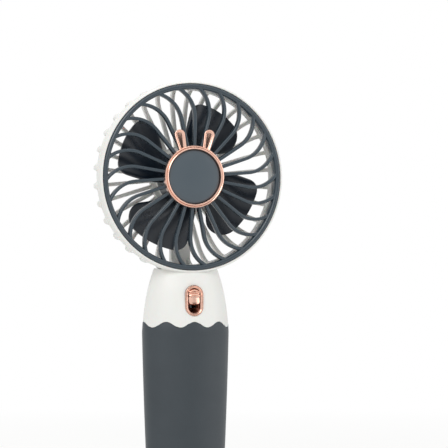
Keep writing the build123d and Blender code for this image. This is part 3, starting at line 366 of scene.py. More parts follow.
# %% Metals
def metal(
    name, light, shade, roughness, streak=(1.0, 1.0, 1.0), grain=1.2, relief=0.002, painted_recess_shade=None,
    **extra,
):
    """Metal between two shades; a streak under 1 stretches the pattern along that axis.

    An optional painted recess shade paints what lies behind the first depth darker, as shade, up to
    the given colour at the second depth.
    """
    finish, tree, output, place = new_finish(name)
    stretch = add_node(tree, "ShaderNodeMapping", {"Vector": place, "Scale": streak})
    wear = add_node(tree, "ShaderNodeTexNoise", {
        "Vector": stretch.outputs["Vector"], "Scale": 1 / (grain * MM), "Detail": 4.0,
    })
    colour = add_node(
        tree, "ShaderNodeMix", {0: wear.outputs["Fac"], 6: linear(light), 7: linear(shade)},
        data_type="RGBA",
    )
    # Painted shade: the deeper a surface lies in the recess, the more its colour is mixed towards
    # the dark colour
    if painted_recess_shade:
        start, end, recess_shade_colour = painted_recess_shade
        axes = add_node(tree, "ShaderNodeSeparateXYZ", {"Vector": place})
        depth = add_node(tree, "ShaderNodeMapRange", {
            "Value": axes.outputs["Y"], "From Min": start * MM, "From Max": end * MM,
        })
        colour = add_node(
            tree, "ShaderNodeMix",
            {0: depth.outputs["Result"], 6: colour.outputs[2], 7: linear(recess_shade_colour)}, data_type="RGBA",
        )
    rough = add_node(tree, "ShaderNodeMapRange", {
        "Value": wear.outputs["Fac"], "To Min": roughness - 0.04, "To Max": roughness + 0.04,
    })
    bump = add_node(tree, "ShaderNodeBump", {
        "Height": wear.outputs["Fac"], "Strength": 1.0, "Distance": relief * MM,
    })
    sockets = {
        "Base Color": colour.outputs[2], "Roughness": rough.outputs["Result"],
        "Normal": bump.outputs["Normal"], "Metallic": 1.0,
    }
    for socket, value in extra.items():
        sockets[socket.replace("_", " ").title()] = value
    shader = add_node(tree, "ShaderNodeBsdfPrincipled", sockets)
    tree.links.new(shader.outputs["BSDF"], output.inputs["Surface"])
    return finish


# Vacuum-metallised rose gold under clear lacquer
rose_gold = metal(
    "metallised_rose_gold", "#F0C6B4", "#E6B7A3", 0.17, grain=4.0, relief=0.003,
    coat_weight=0.35, coat_roughness=0.08,
)
# The same film in the switch's frame, with painted shade: what lies deeper than the frame's face,
# the walls and floor of the track, is painted dark brown as shade
rose_gold_painted_track_shade = metal(
    "metallised_rose_gold_with_painted_track_shade", "#F0C6B4", "#E6B7A3", 0.17, grain=4.0, relief=0.003,
    painted_recess_shade=(-14.6, -14.0, "#6B3626"), coat_weight=0.35, coat_roughness=0.08,
)
# Zinc-plated steel, drawn or rolled
steel = metal("zinc_plated_steel", "#C4C6C8", "#AFB1B4", 0.28, streak=(1.0, 0.15, 1.0))
# Sintered bronze of the bushes and brushes
bronze = metal("sintered_bronze", "#B88A4E", "#A67A42", 0.4, grain=0.5, relief=0.01)
# Enamelled copper of the windings and the bare commutator
copper = metal("enamelled_copper", "#C6703F", "#B26034", 0.25, streak=(0.2, 1.0, 1.0), grain=0.6)
# Nickel strip of the cell's tabs, rolled
nickel = metal("rolled_nickel", "#C9C4B8", "#B7B2A6", 0.3, streak=(0.1, 1.0, 1.0), grain=0.8)
print("all finishes so far:", len(bpy.data.materials))

# %% [markdown]
# ### Clear light guide
# The charge light is a rod of clear polycarbonate that leads the light out through the rear wall.
# It is slightly frosted at its end, so it looks milky rather than like a lens.

# %% Clear light guide
light_guide, guide_tree, guide_output, guide_place = new_finish("frosted_polycarbonate")
frost = add_node(guide_tree, "ShaderNodeTexNoise", {"Vector": guide_place, "Scale": 1 / (0.4 * MM)})
frost_rough = add_node(guide_tree, "ShaderNodeMapRange", {
    "Value": frost.outputs["Fac"], "To Min": 0.25, "To Max": 0.4,
})
guide_shader = add_node(guide_tree, "ShaderNodeBsdfPrincipled", {
    "Base Color": linear("#EEF0EE"), "Roughness": frost_rough.outputs["Result"], "IOR": 1.585,
    "Transmission Weight": 0.7,
})
guide_tree.links.new(guide_shader.outputs["BSDF"], guide_output.inputs["Surface"])
print("light guide ready")

# %% [markdown]
# ## Turned pieces
# Anything round about the head's axis is drawn as an outline and spun. The outline starts as a
# plane whose corners are merged to a single vertex, which is then extruded from corner to corner.

# %% Outline and spin
def turned(name, corners, steps=128, closed=True):
    """Spins an outline of (radius, forward) corners about the head's axis."""
    clear_selection()
    bpy.ops.mesh.primitive_plane_add(size=MM, location=head_point(*corners[0]))
    piece = name_piece(name)
    bpy.ops.object.mode_set(mode="EDIT")
    bpy.ops.mesh.select_mode(type="VERT")
    bpy.ops.mesh.merge(type="CENTER")
    walk = corners + [corners[0]] if closed else corners
    for here, there in zip(walk, walk[1:]):
        step = ((there[0] - here[0]) * MM, (here[1] - there[1]) * MM, 0.0)
        bpy.ops.mesh.extrude_vertices_move(TRANSFORM_OT_translate={"value": step})
    bpy.ops.mesh.select_all(action="SELECT")
    bpy.ops.mesh.spin(steps=steps, angle=FULL_TURN, center=HEAD_CENTRE, axis=(0, 1, 0))
    close_up()
    bpy.ops.object.mode_set(mode="OBJECT")
    return piece


def close_up():
    """In edit mode, welds the seams that a spin leaves and turns all faces outwards."""
    bpy.ops.mesh.select_all(action="SELECT")
    bpy.ops.mesh.remove_doubles(threshold=0.005 * MM)
    bpy.ops.mesh.normals_make_consistent(inside=False)


def repeat_round(count):
    """In edit mode, copies the selected form round the head's axis until there are count."""
    share = FULL_TURN * (count - 1) / count
    bpy.ops.mesh.spin(steps=count - 1, dupli=True, angle=share, center=HEAD_CENTRE, axis=(0, 1, 0))


def turn_piece(piece, degrees):
    """In edit mode, turns everything about the head's axis, anticlockwise seen from the front."""
    bpy.ops.mesh.select_all(action="SELECT")
    bpy.ops.transform.rotate(
        value=math.radians(degrees), orient_axis="Y", center_override=HEAD_CENTRE,
    )


print("outline tools ready")

# %% [markdown]
# ## Front grille
# The grille is one moulding: an outer ring with a domed front, a plate in the middle, and 26 thin
# ribs that run straight out and then sweep round to the ring. One rib is modelled and repeated by
# a spin with copies. The straight part is an extrusion and the sweep is a spin of its last face.

# %% Swirl rib
SWIRL_RIBS = 26
SWIRL_RIB_W = 1.7
SWIRL_RIB_T = 3.6
SWIRL_START = 15.4
SWIRL_STRAIGHT = 31.0
STRAIGHT_STEPS = 6
SWIRL_TURN = 16.4
SWIRL_SWING = 67.8
SWIRL_PHASE = 87.7
DOME_FRONT = 14.2
DOME_BALL = 540.1


def dome_drop(radius):
    """How far the dome has fallen back from its middle at a radius, in millimetres."""
    return DOME_BALL - math.sqrt(DOME_BALL ** 2 - radius ** 2)


swirl_rib = rectangle(
    "front_grille", head_point(SWIRL_START, DOME_FRONT - SWIRL_RIB_T / 2),
    (SWIRL_RIB_W, SWIRL_RIB_T), turn=(0.0, math.pi / 2, 0.0),
)
bpy.ops.object.mode_set(mode="EDIT")
bpy.ops.mesh.select_all(action="SELECT")
for step in range(STRAIGHT_STEPS):
    push(x=(SWIRL_STRAIGHT - SWIRL_START) / STRAIGHT_STEPS)
turn_centre = (SWIRL_STRAIGHT * MM, 0.0, (HEAD_Z + SWIRL_TURN) * MM)
bpy.ops.mesh.spin(steps=14, angle=math.radians(SWIRL_SWING), center=turn_centre, axis=(0, 1, 0))
close_up()
bpy.ops.object.mode_set(mode="OBJECT")
soften(swirl_rib, 0.6, segments=3)
for corner in swirl_rib.data.vertices:
    reach = math.hypot(corner.co.x, corner.co.z - HEAD_Z * MM) / MM
    corner.co.y += dome_drop(reach) * MM
print("one rib has", len(swirl_rib.data.polygons), "faces")

# %% The whole grille
bpy.ops.object.mode_set(mode="EDIT")
turn_piece(swirl_rib, SWIRL_PHASE)
bpy.ops.mesh.select_all(action="SELECT")
repeat_round(SWIRL_RIBS)
bpy.ops.object.mode_set(mode="OBJECT")
print("rib span", [round(v / MM, 1) for v in swirl_rib.dimensions])

grille_ring = turned("grille_ring", [
    (45.9, 8.0), (GRILLE_R - 0.1, 8.0), (GRILLE_R, 8.1), (GRILLE_R, 11.3),
    (48.45, 11.95), (48.0, 12.4), (47.3, 12.6), (46.6, 12.4), (46.15, 11.95), (45.9, 11.3),
], steps=192)
hub_plate = turned("grille_hub", [
    (0, 10.2), (15.9, 10.2), (15.9, CAP_SEAT), (0, CAP_SEAT),
], closed=False)
front_grille = join([swirl_rib, grille_ring, hub_plate])
front_grille.name = front_grille.data.name = "swirl_grille"
finish_piece(front_grille, "housing", slate_abs, ["front_grille"])

# %% [markdown]
# ## Rear cage
# From behind, the head is a bowl of 32 ribs. Each starts at the band, runs straight back, bends
# round the shoulder and goes in to the hub. From the front these ribs shine through the grille as
# pale spokes. Each rib has a broad round foot where it leaves the band, and a low wall joins the
# feet, so the head's side has a scalloped edge.

# %% Cage rib
CAGE_RIBS = 32
SHOULDER_R = 13.6
RIB_W = 2.0
RIB_DEPTH = 3.0
RIB_END_R = 15.5
FOOT_END = -6.0
FOOT_L = 9.0
FOOT_FLARE = 1.5
FOOT_CROWN = 0.75
shoulder_forward = CAGE_BACK + SHOULDER_R
cage_rib = rectangle(
    "cage_rib", head_point(CAGE_R - RIB_DEPTH / 2, BAND_BACK - 0.02), (RIB_DEPTH, RIB_W),
    turn=(math.pi / 2, 0.0, 0.0),
)
bpy.ops.object.mode_set(mode="EDIT")
bpy.ops.mesh.select_all(action="SELECT")
push(y=BAND_BACK - shoulder_forward)
shoulder_centre = head_point(CAGE_R - SHOULDER_R, shoulder_forward)
bpy.ops.mesh.spin(steps=12, angle=-math.pi / 2, center=shoulder_centre, axis=(0, 0, 1))
push(x=RIB_END_R + SHOULDER_R - CAGE_R)
close_up()
bpy.ops.object.mode_set(mode="OBJECT")
soften(cage_rib, 0.45, segments=2)
for corner in cage_rib.data.vertices:
    forward = -corner.co.y / MM
    aside = corner.co.z / MM - HEAD_Z
    foot = max(0.0, min(1.0, (forward - FOOT_END) / FOOT_L)) ** 2
    corner.co.z = (HEAD_Z + aside * (1 + FOOT_FLARE * foot)) * MM
    if corner.co.x / MM > CAGE_R - RIB_DEPTH / 2 and forward > shoulder_forward - SHOULDER_R:
        corner.co.x -= FOOT_CROWN * foot * aside ** 2 * MM
print("cage rib span", [round(v / MM, 1) for v in cage_rib.dimensions])

# %% The whole cage
bpy.ops.object.mode_set(mode="EDIT")
turn_piece(cage_rib, 270 + 360 / CAGE_RIBS / 2)
bpy.ops.mesh.select_all(action="SELECT")
repeat_round(CAGE_RIBS)
bpy.ops.object.mode_set(mode="OBJECT")
cage_rim = turned("cage_rim", [
    (47.8, 6.7), (47.8, 4.95), (49.2, 4.95), (49.2, 1.4), (48.8, 0.9), (46.2, 0.9),
    (45.7, 1.5), (45.7, 6.7),
], steps=192)
cage_hub = turned("cage_hub", [
    (0, CAGE_BACK), (15.7, CAGE_BACK), (16.25, CAGE_BACK + 0.2), (16.5, CAGE_BACK + 0.8),
    (16.5, CAGE_BACK + 4.0), (14.2, CAGE_BACK + 4.0), (14.2, -4.5), (12.3, -4.5), (12.3, -8.8),
    (10.1, -8.8), (10.1, -10.9), (0, -10.9),
], steps=96, closed=False)
# The strut is a tube for the motor's leads: both its ends are inset and joined by a duct
STRUT_Z = HEAD_Z - 32.9
strut = block("cage_strut", (0, 9.7, STRUT_Z), (10.5, 4.4, 34.6))
bpy.ops.object.mode_set(mode="EDIT")
pick(strut, "FACE", lambda m: abs(m.z - STRUT_Z) > 15)
bpy.ops.mesh.inset(thickness=1.2 * MM)
bpy.ops.mesh.bridge_edge_loops()
bpy.ops.object.mode_set(mode="OBJECT")
soften(strut, 0.4)
rear_cage = join([cage_rib, cage_rim, cage_hub, strut])
rear_cage.name = rear_cage.data.name = "rear_cage"
finish_piece(rear_cage, "housing", white_abs, ["rear_grille"])

# %% [markdown]
# ## Head band
# The band is the white hoop that holds the grille. It swells a little towards the middle of its
# width and ends in front in a thin rounded lip, which frames the dark grille with a bright line.

# %% Head band
head_band = turned("head_band", [
    (49.75, BAND_BACK), (50.0, 5.25), (50.13, 6.5), (50.22, 8.0), (50.18, 9.4), (50.02, 10.6),
    (49.8, 11.5), (49.5, 11.9), (49.17, LIP_FRONT), (48.92, 11.9), (48.8, 11.65), (48.8, 8.0),
    (46.8, 8.0), (46.8, 6.8), (47.9, 6.8), (47.9, BAND_BACK),
], steps=256)
print("band", [round(v / MM, 1) for v in head_band.dimensions], "mm")

# %% [markdown]
# ## Oval handle
# The handle and the neck are ovals of changing width and depth, stacked up the Z axis. A circle
# is extruded ring by ring, and each ring is fitted to the oval at its height. The sizes between
# the measured heights come from the one smooth curve that passes through them all.

# %% Oval rings
OVAL_POINTS = 128
SLEEVE_EDGE_ROW = 80.0
GRIP_ROWS = ((0.0, 20.6, 13.4, 13.4), (41.5, 22.4, 14.2, 14.2), (80.0, 23.5, 14.88, 14.88))
NECK_ROWS = (
    (80.0, 23.5, 14.88, 14.88), (95.5, 21.6, 14.5, 14.2), (104.0, 19.75, 13.4, 13.6),
    (110.0, 17.9, 11.5, 12.4), (114.5, 16.2, 8.8, 10.6),
)


def oval(height):
    """Half width, front depth and back depth of the handle at a height."""
    return through(GRIP_ROWS if height <= SLEEVE_EDGE_ROW else NECK_ROWS, height)


def wave_height(turn):
    """Lift of the wavy edge at a turn from the side, even along the oval's outline."""
    half, front = oval(SLEEVE_EDGE_ROW)[:2]
    steps = 90
    paces = []
    for k in range(steps):
        t = math.pi / 2 * (k + 0.5) / steps
        paces.append(math.hypot(half * math.sin(t), front * math.cos(t)))
    quarter = math.asin(min(1.0, abs(math.sin(turn))))
    walked = sum(paces[:round(quarter / (math.pi / 2) * steps)]) / sum(paces)
    return WAVE_RISE * math.cos(4 * math.pi * walked)


def oval_body(name, rows, open_top=False):
    """Body of ovals from (height, inset, wavy) rows."""
    clear_selection()
    bpy.ops.mesh.primitive_circle_add(vertices=OVAL_POINTS, radius=MM, fill_type="NGON")
    piece = name_piece(name)
    bpy.ops.object.mode_set(mode="EDIT")
    bpy.ops.mesh.select_all(action="SELECT")
    for index, (height, inset, wavy) in enumerate(rows):
        if index:
            push(z=1.0)
        half, front, rear = [size - inset for size in oval(height)]
        ring = [corner for corner in bmesh.from_edit_mesh(piece.data).verts if corner.select]
        old_half = max(corner.co.x for corner in ring)
        old_front = -min(corner.co.y for corner in ring)
        old_rear = max(corner.co.y for corner in ring)
        for corner in ring:
            turn = math.atan2(corner.co.y / old_front, corner.co.x / old_half)
            corner.co.x *= half * MM / old_half
            corner.co.y *= front * MM / old_front if corner.co.y < 0 else rear * MM / old_rear
            corner.co.z = (height + (wave_height(turn) if wavy else 0.0)) * MM
        bmesh.update_edit_mesh(piece.data)
    if open_top:
        bpy.ops.mesh.delete(type="ONLY_FACE")
    bpy.ops.mesh.select_all(action="SELECT")
    bpy.ops.mesh.normals_make_consistent(inside=False)
    bpy.ops.object.mode_set(mode="OBJECT")
    return piece


print("oval at the switch", [round(v, 1) for v in oval(SWITCH_Z)])

# %% [markdown]
# ## Grip sleeve
# The dark sleeve is a soft-touch tube with a rounded closed base and a wavy upper edge: eight
# waves round the oval. Its outside is grown ring by ring, the top is opened, and Solidify gives
# the wall its thickness inwards.

# %% Grip sleeve
BASE_ROUND = 2.2
SLEEVE_T = 1.6
sleeve_rows = []
for degrees in range(0, 91, 18):
    slant = math.radians(degrees)
    row = [BASE_ROUND - BASE_ROUND * math.cos(slant), BASE_ROUND - BASE_ROUND * math.sin(slant)]
    sleeve_rows.append((*row, False))
sleeve_rows += [(float(height), 0.0, False) for height in range(8, 80, 8)]
sleeve_rows += [(79.0, 0.0, False), (GRIP_TOP, 0.0, True)]
grip = oval_body("grip_sleeve_skin", sleeve_rows, open_top=True)
apply_modifier(grip, "SOLIDIFY", thickness=SLEEVE_T * MM, offset=-1.0, use_even_offset=True)
soften(grip, 0.3, segments=2, angle=50)
finish_piece(grip, "housing", soft_touch, ["grip_sleeve"])

# %% [markdown]
# ## Neck and inner core
# Both shell halves are white. Under the sleeve they step inwards to a core, and above it they are
# the visible neck. One closed body is grown for the outside and one for the hollow. The cage's
# round back and the band are cut out of the top with a spun cutter, then the hollow is cut out.

# %% Both shells in one
CORE_INSET = 1.7
CORE_WALL = 1.6
NECK_WALL = 2.0
SEAM = 0.08
outer_rows = [(height, CORE_INSET, False) for height in (1.7, 20.0, 41.5, 62.0, 79.0)]
outer_rows += [(GRIP_TOP + SEAM, CORE_INSET, True), (GRIP_TOP + SEAM, 0.0, True)]
outer_rows += [(86.2, 0.0, False)]
outer_rows += [(88.0 + 2 * k, 0.0, False) for k in range(15)]
shell = oval_body("shell", outer_rows)
inner_inset = CORE_INSET + CORE_WALL
inner_rows = [(height, inner_inset, False) for height in (3.3, 20.0, 41.5, 62.0, 80.0, 87.5)]
inner_rows += [(87.5, NECK_WALL, False)] + [(90.0 + 2 * k, NECK_WALL, False) for k in range(14)]
hollow = oval_body("hollow", inner_rows)
cage_space = turned("cage_space", [
    (0, -30), (50.6, -30), (50.6, BAND_BACK), (49.4, BAND_BACK), (49.4, 30), (0, 30),
], steps=256, closed=False)
saddle = turned("saddle", [(0, -30), (52.4, -30), (52.4, 30), (0, 30)], steps=128, closed=False)
cut_away(hollow, saddle)
cut_away(shell, cage_space)
cut_away(shell, hollow)
print("shell", [round(v / MM, 1) for v in shell.dimensions], "mm")

# %% [markdown]
# ## Openings and the parting line
# The switch sits in a slot-shaped opening in front. Behind, there is a slot for the charging
# socket and a pinhole for its light. The shell is then parted down the middle into a front and a
# rear half, with a hair of air between them, which is the seam one sees on the real neck.

# %% Openings
def obround(name, width, height, start, end, z, points=48):
    """Slot-shaped block that runs along Y from start to end, at a height."""
    clear_selection()
    bpy.ops.mesh.primitive_circle_add(
        vertices=points, radius=min(width, height) / 2 * MM, fill_type="NGON",
        location=(0, start * MM, z * MM), rotation=(math.pi / 2, 0, 0),
    )
    piece = name_piece(name)
    bpy.ops.object.mode_set(mode="EDIT")
    for side in (-1, 1):
        if width > height:
            pick(piece, "VERT", lambda m: m.x * side > 0.01)
            shift(x=side * (width - height) / 2)
        else:
            pick(piece, "VERT", lambda m: (m.z - z) * side > 0.01)
            shift(z=side * (height - width) / 2)
    bpy.ops.mesh.select_all(action="SELECT")
    push(y=end - start)
    bpy.ops.mesh.select_all(action="SELECT")
    bpy.ops.mesh.normals_make_consistent(inside=False)
    bpy.ops.object.mode_set(mode="OBJECT")
    return piece


cut_away(shell, obround("switch_opening", 10.0, 16.4, -25.0, -7.0, SWITCH_Z))
cut_away(shell, obround("socket_opening", 9.24, 3.56, 5.0, 25.0, 90.25))
cut_away(shell, obround("light_opening", 2.2, 2.2, 5.0, 25.0, 98.25, points=24))

# %% Parting into two halves
use_only(shell)
bpy.ops.object.duplicate()
rear_half = name_piece("rear_shell_skin")
front_half = shell
front_half.name = front_half.data.name = "front_shell_skin"
cut_away(front_half, block("behind", (0, 99.97, 100), (200, 200, 400)))
cut_away(rear_half, block("before", (0, -99.97, 100), (200, 200, 400)))
front_half = join([front_half, head_band])
finish_piece(front_half, "housing", white_abs, ["front_shell"], angle=30)
finish_piece(rear_half, "housing", white_abs, ["rear_shell"], angle=30)

# %% [markdown]
# ## Ring with ears and centre disc
# A rose-gold ring with a fine groove stands proud in the middle of the grille and carries two
# upright ears. Each ear starts as a circle whose lower half is drawn down and in, is inset for its
# rim, and has its inner face sunk in two steps. A slightly domed slate disc fills the ring, with a
# thin shadow gap round it.

# %% Ring and ears
ear_ring = turned("ear_ring_skin", [
    (14.2, CAP_SEAT), (16.25, CAP_SEAT), (16.3, 13.5), (16.3, 15.0), (16.2, 15.35), (15.95, 15.6),
    (15.65, 15.65), (15.4, 15.5), (15.3, 15.45), (15.22, 15.7), (15.05, 15.97), (14.8, 16.1),
    (14.52, 16.05), (14.28, 15.8), (14.15, 15.4), (14.15, 13.5),
], steps=128)
EAR_X, EAR_Z, EAR_FRONT = 8.1, 21.7, 15.4
EAR_R = 2.8
EAR_T = 1.6
LEAN_X, LEAN_Z = -1.5, -6.5
ears = []
for side in (-1, 1):
    clear_selection()
    top = (side * EAR_X * MM, -EAR_FRONT * MM, (HEAD_Z + EAR_Z) * MM)
    bpy.ops.mesh.primitive_circle_add(
        vertices=48, radius=EAR_R * MM, fill_type="NGON", location=top,
        rotation=(math.pi / 2, 0, 0),
    )
    ear = name_piece("ear")
    bpy.ops.object.mode_set(mode="EDIT")
    lean = side * LEAN_X
    pick(ear, "VERT", lambda m: (
        (m.x - side * EAR_X) * lean + (m.z - HEAD_Z - EAR_Z) * LEAN_Z > 0.01
    ))
    bpy.ops.transform.resize(value=(0.75, 1.0, 0.75), center_override=top)
    shift(x=lean, z=LEAN_Z)
    bpy.ops.mesh.select_all(action="SELECT")
    push(y=EAR_T)
    pick(ear, "FACE", lambda m: m.y < 0.1 - EAR_FRONT)
    bpy.ops.mesh.inset(thickness=0.75 * MM)
    shift(y=0.35)
    bpy.ops.mesh.inset(thickness=0.35 * MM)
    shift(y=0.55)
    close_up()
    bpy.ops.object.mode_set(mode="OBJECT")
    soften(ear, 0.25, segments=3, angle=40)
    ears.append(ear)
ear_ring = join([ear_ring, *ears])
finish_piece(ear_ring, "housing", rose_gold, ["ear_ring"])

# %% Centre disc
centre_disc = turned("centre_disc", [
    (0.0, 15.5), (3.5, 15.44), (7.0, 15.27), (10.0, 15.03), (12.6, 14.76), (13.4, 14.62),
    (13.75, 14.45), (13.9, 14.15), (13.9, CAP_SEAT), (0.0, CAP_SEAT),
], steps=96, closed=False)
finish_piece(centre_disc, "housing", cap_abs, ["centre_cap"])

# %% [markdown]
# ## Impeller
# Behind the ribs turns a four-bladed impeller. A blade is a broad petal that is steep at the hub
# and flatter at its tip. A flat grid is bent into it: each row of the grid becomes an arc at one
# radius between the leading and the trailing edge, and its height follows the twist. Both outer
# corners are rounded by circles that touch the tip and the edge.

# %% Blade outline
ROOT_R = 14.0
TIP_R = 39.0
LEADING_CORNER = 8.5
TRAILING_CORNER = 6.0
LEADING = ((ROOT_R, 3.5), (17.2, -2.3), (24.1, -11.5), (30.4, -17.5), (34.6, -21.0), (TIP_R, -24.0))
TRAILING = ((ROOT_R, 57.0), (17.2, 55.0), (21.4, 52.3), (26.9, 48.5), (33.2, 44.8), (TIP_R, 42.0))


def rounded_edge(table, corner, side):
    """Function from radius to angle whose outer corner is rounded; side is 1 to turn forwards."""
    reach = TIP_R - corner
    samples = [ROOT_R + (TIP_R - ROOT_R) * k / 80 for k in range(81)]
    edge = [(r, math.radians(through(table, r)[0])) for r in samples]
    spots = [(r * math.cos(a), r * math.sin(a)) for r, a in edge]
    middle = math.radians(table[-1][1])
    while True:
        centre = (reach * math.cos(middle), reach * math.sin(middle))
        gaps = [math.hypot(x - centre[0], y - centre[1]) for x, y in spots]
        if min(gaps) >= corner:
            break
        middle += side * 0.001
    touch = samples[gaps.index(min(gaps))]

    def angle(radius):
        if radius <= touch:
            return math.radians(through(table, radius)[0])
        share = (radius ** 2 + reach ** 2 - corner ** 2) / (2 * radius * reach)
        return middle - side * math.acos(max(-1.0, min(1.0, share)))

    return angle


leading_edge = rounded_edge(LEADING, LEADING_CORNER, 1)
trailing_edge = rounded_edge(TRAILING, TRAILING_CORNER, -1)
print("at 30 mm a blade spans", [
    round(math.degrees(edge(30)), 1) for edge in (leading_edge, trailing_edge)
], "degrees")

# %% Blades
BLADE_MIDDLE = math.radians(18.0)
BLADE_FORWARD = 0.2
BLADE_LEAD = 10.0
BLADE_CAMBER = 0.8
BLADE_T = 1.25
BLADE_PHASE = 44.0
BLADES = 4
sunk_root = ROOT_R - 0.1
clear_selection()
bpy.ops.mesh.primitive_grid_add(x_subdivisions=24, y_subdivisions=24, size=2.0)
blades = name_piece("impeller_skin")
for corner in blades.data.vertices:
    across, out = (corner.co.x + 1) / 2, (corner.co.y + 1) / 2
    radius = sunk_root + (TIP_R - sunk_root) * (1 - (1 - out) ** 2)
    angle = leading_edge(radius) + (trailing_edge(radius) - leading_edge(radius)) * across
    along = radius * math.cos(angle - BLADE_MIDDLE)
    aside = radius * math.sin(angle - BLADE_MIDDLE)
    bow = 1 - (aside / (0.85 * along)) ** 2
    forward = BLADE_FORWARD + BLADE_LEAD / along * aside + BLADE_CAMBER * bow
    corner.co.x = radius * math.cos(angle) * MM
    corner.co.y = -forward * MM
    corner.co.z = (HEAD_Z + radius * math.sin(angle)) * MM
bpy.ops.object.mode_set(mode="EDIT")
bpy.ops.mesh.select_all(action="SELECT")
bpy.ops.mesh.normals_make_consistent(inside=False)
bpy.ops.object.mode_set(mode="OBJECT")
apply_modifier(blades, "SOLIDIFY", thickness=BLADE_T * MM, offset=0.0, use_even_offset=True)
soften(blades, 0.4, segments=2, angle=60)
bpy.ops.object.mode_set(mode="EDIT")
turn_piece(blades, BLADE_PHASE)
bpy.ops.mesh.select_all(action="SELECT")
repeat_round(BLADES)
bpy.ops.object.mode_set(mode="OBJECT")
impeller_hub = turned("impeller_hub", [
    (13.2, -3.5), (14.7, -3.5), (14.7, 8.2), (14.6, 8.66), (14.35, 9.05), (13.96, 9.31),
    (13.5, 9.4), (1.03, 9.4), (1.03, 4.6), (3.0, 4.6), (3.0, 8.0), (13.2, 8.0),
], steps=96)
impeller = join([blades, impeller_hub])
finish_piece(impeller, "rotor", impeller_abs, ["impeller"])

# %% [markdown]
# ## Switch
# The switch has a rose-gold frame with a sunk track, and a thumb piece that slides in it. The
# frame is an obround block whose front face is inset and pushed in by steps. The thumb piece is
# grown ring by ring up its height, so that its sloping pad and the two arched ridges above the pad
# are part of it.

# %% Switch frame
FRAME_BACK = 9.6
TRACK_DEPTH = 1.9
LOOP_FROM_BACK = 1.2
frame_block = obround("switch_frame", 9.8, 16.2, -BEZEL_FACE, -FRAME_BACK, SWITCH_Z, points=64)
use_only(frame_block)
bpy.ops.object.mode_set(mode="EDIT")
pick(frame_block, "FACE", lambda m: m.y < -BEZEL_FACE + 0.1)
bpy.ops.mesh.inset(thickness=0.7 * MM)
bpy.ops.mesh.inset(thickness=0.3 * MM)
shift(y=0.5)
bpy.ops.mesh.inset(thickness=0.55 * MM)
push(y=TRACK_DEPTH)
# A loop of edges round the side wall, near its back, so that the wall is shaded flat. It adds no
# form of its own.
pick(frame_block, "FACE", lambda m: m.y > -FRAME_BACK - 0.1)
bpy.ops.mesh.inset(thickness=LOOP_FROM_BACK * MM, use_outset=True)
close_up()
bpy.ops.object.mode_set(mode="OBJECT")
soften(frame_block, 0.18, segments=3, angle=40)
cut_away(frame_block, block("lever_slot", (0, -11.0, SWITCH_Z), (3.6, 6.0, 7.6)))
finish_piece(frame_block, "housing", rose_gold_painted_track_shade, ["switch_bezel"])

# %% Thumb piece
KNOB_BOTTOM, KNOB_TOP = 93.1, 101.9
KNOB_W = 5.8
KNOB_BACK, KNOB_FACE = 12.8, 14.35
KNOB_START_T = 1.6
KNOB_CORNER = 2.2
KNOB_STEPS = 44
PAD_TOP = 5.2
PAD_EDGE = 0.8
RIDGES = (5.75, 7.75)
RIDGE_RISE, RIDGE_W, RIDGE_ARCH = 1.2, 0.68, 0.9
knob = rectangle(
    "thumb_piece", (0.0, -(KNOB_BACK + KNOB_START_T / 2) * MM, KNOB_BOTTOM * MM),
    (KNOB_W, KNOB_START_T),
)
bpy.ops.object.mode_set(mode="EDIT")
bpy.ops.mesh.select_all(action="SELECT")
bpy.ops.mesh.subdivide(number_cuts=7)
knob_pace = (KNOB_TOP - KNOB_BOTTOM) / KNOB_STEPS
for step in range(KNOB_STEPS + 1):
    if step:
        push(z=knob_pace)
    height = knob_pace * step
    from_corner = max(0.0, KNOB_CORNER - min(height, KNOB_TOP - KNOB_BOTTOM - height))
    pull = KNOB_CORNER - math.sqrt(max(0.0, KNOB_CORNER ** 2 - from_corner ** 2))
    pad = min(1.0, height / PAD_EDGE) * max(0.0, 1 - height / PAD_TOP)
    ring = [corner for corner in bmesh.from_edit_mesh(knob.data).verts if corner.select]
    old_half = max(corner.co.x for corner in ring)
    for corner in ring:
        across = corner.co.x / old_half
        arched = height + RIDGE_ARCH * across ** 2
        ridge = sum(RIDGE_RISE * math.exp(-((arched - spot) / RIDGE_W) ** 2) for spot in RIDGES)
        rounding = 0.35 * across ** 2 + 0.5 * (pull / KNOB_CORNER) ** 2
        face = KNOB_FACE + max(pad, ridge) - rounding
        corner.co.x = across * (KNOB_W / 2 - pull) * MM
        corner.co.y = -(KNOB_BACK if corner.co.y > -(KNOB_BACK + 0.01) * MM else face) * MM
    bmesh.update_edit_mesh(knob.data)
close_up()
bpy.ops.object.mode_set(mode="OBJECT")
finish_piece(knob, "slider", rose_gold, ["slider_knob"], angle=50)

# %% [markdown]
# ## Pieces that keep the engineering shape
# The motor, the board, the cell and the leads are right as they are, so they keep their meshes
# and only get real finishes. A table pairs each with its own.

# %% Finishes of the inner pieces
inner_finishes = {
    "motor_can": steel, "motor_shaft": steel, "rotor_core": steel, "board_screws": steel,
    "shell_screws": steel, "usb_socket": steel, "slide_switch": steel, "motor_end_cap": black_nylon,
    "board_parts": black_nylon, "switch_lever": black_nylon, "motor_brushes": bronze,
    "motor_bushes": bronze, "rotor_windings": copper, "commutator": copper,
    "motor_magnets": ferrite, "circuit_board": solder_mask,
    "charge_light": light_guide, "battery_cell": cell_film,
    "cell_tab_positive": nickel, "cell_tab_negative": nickel, "cell_foam_pads": pad_foam,
    "motor_lead_red": red_pvc, "cell_lead_red": red_pvc, "motor_lead_black": black_pvc,
    "cell_lead_black": black_pvc,
}
for node, finish in inner_finishes.items():
    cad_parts[node].data.materials.clear()
    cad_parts[node].data.materials.append(finish)
print("inner pieces finished:", len(inner_finishes))

# %% [markdown]
# ## Floor and light
# The fan stands on a pale floor that fades into white. To the camera and in reflections the floor
# glows white, wholly so from 75 cm away, so no horizon shows. Near the fan a part of it is still
# lit by the lamps, and that part carries the shadow. The light is soft: a large panel from the
# upper left, a fill from the right and a top panel, over plain pale surroundings. A dark card at
# the front right, hidden from the camera, is there for the metal to reflect.

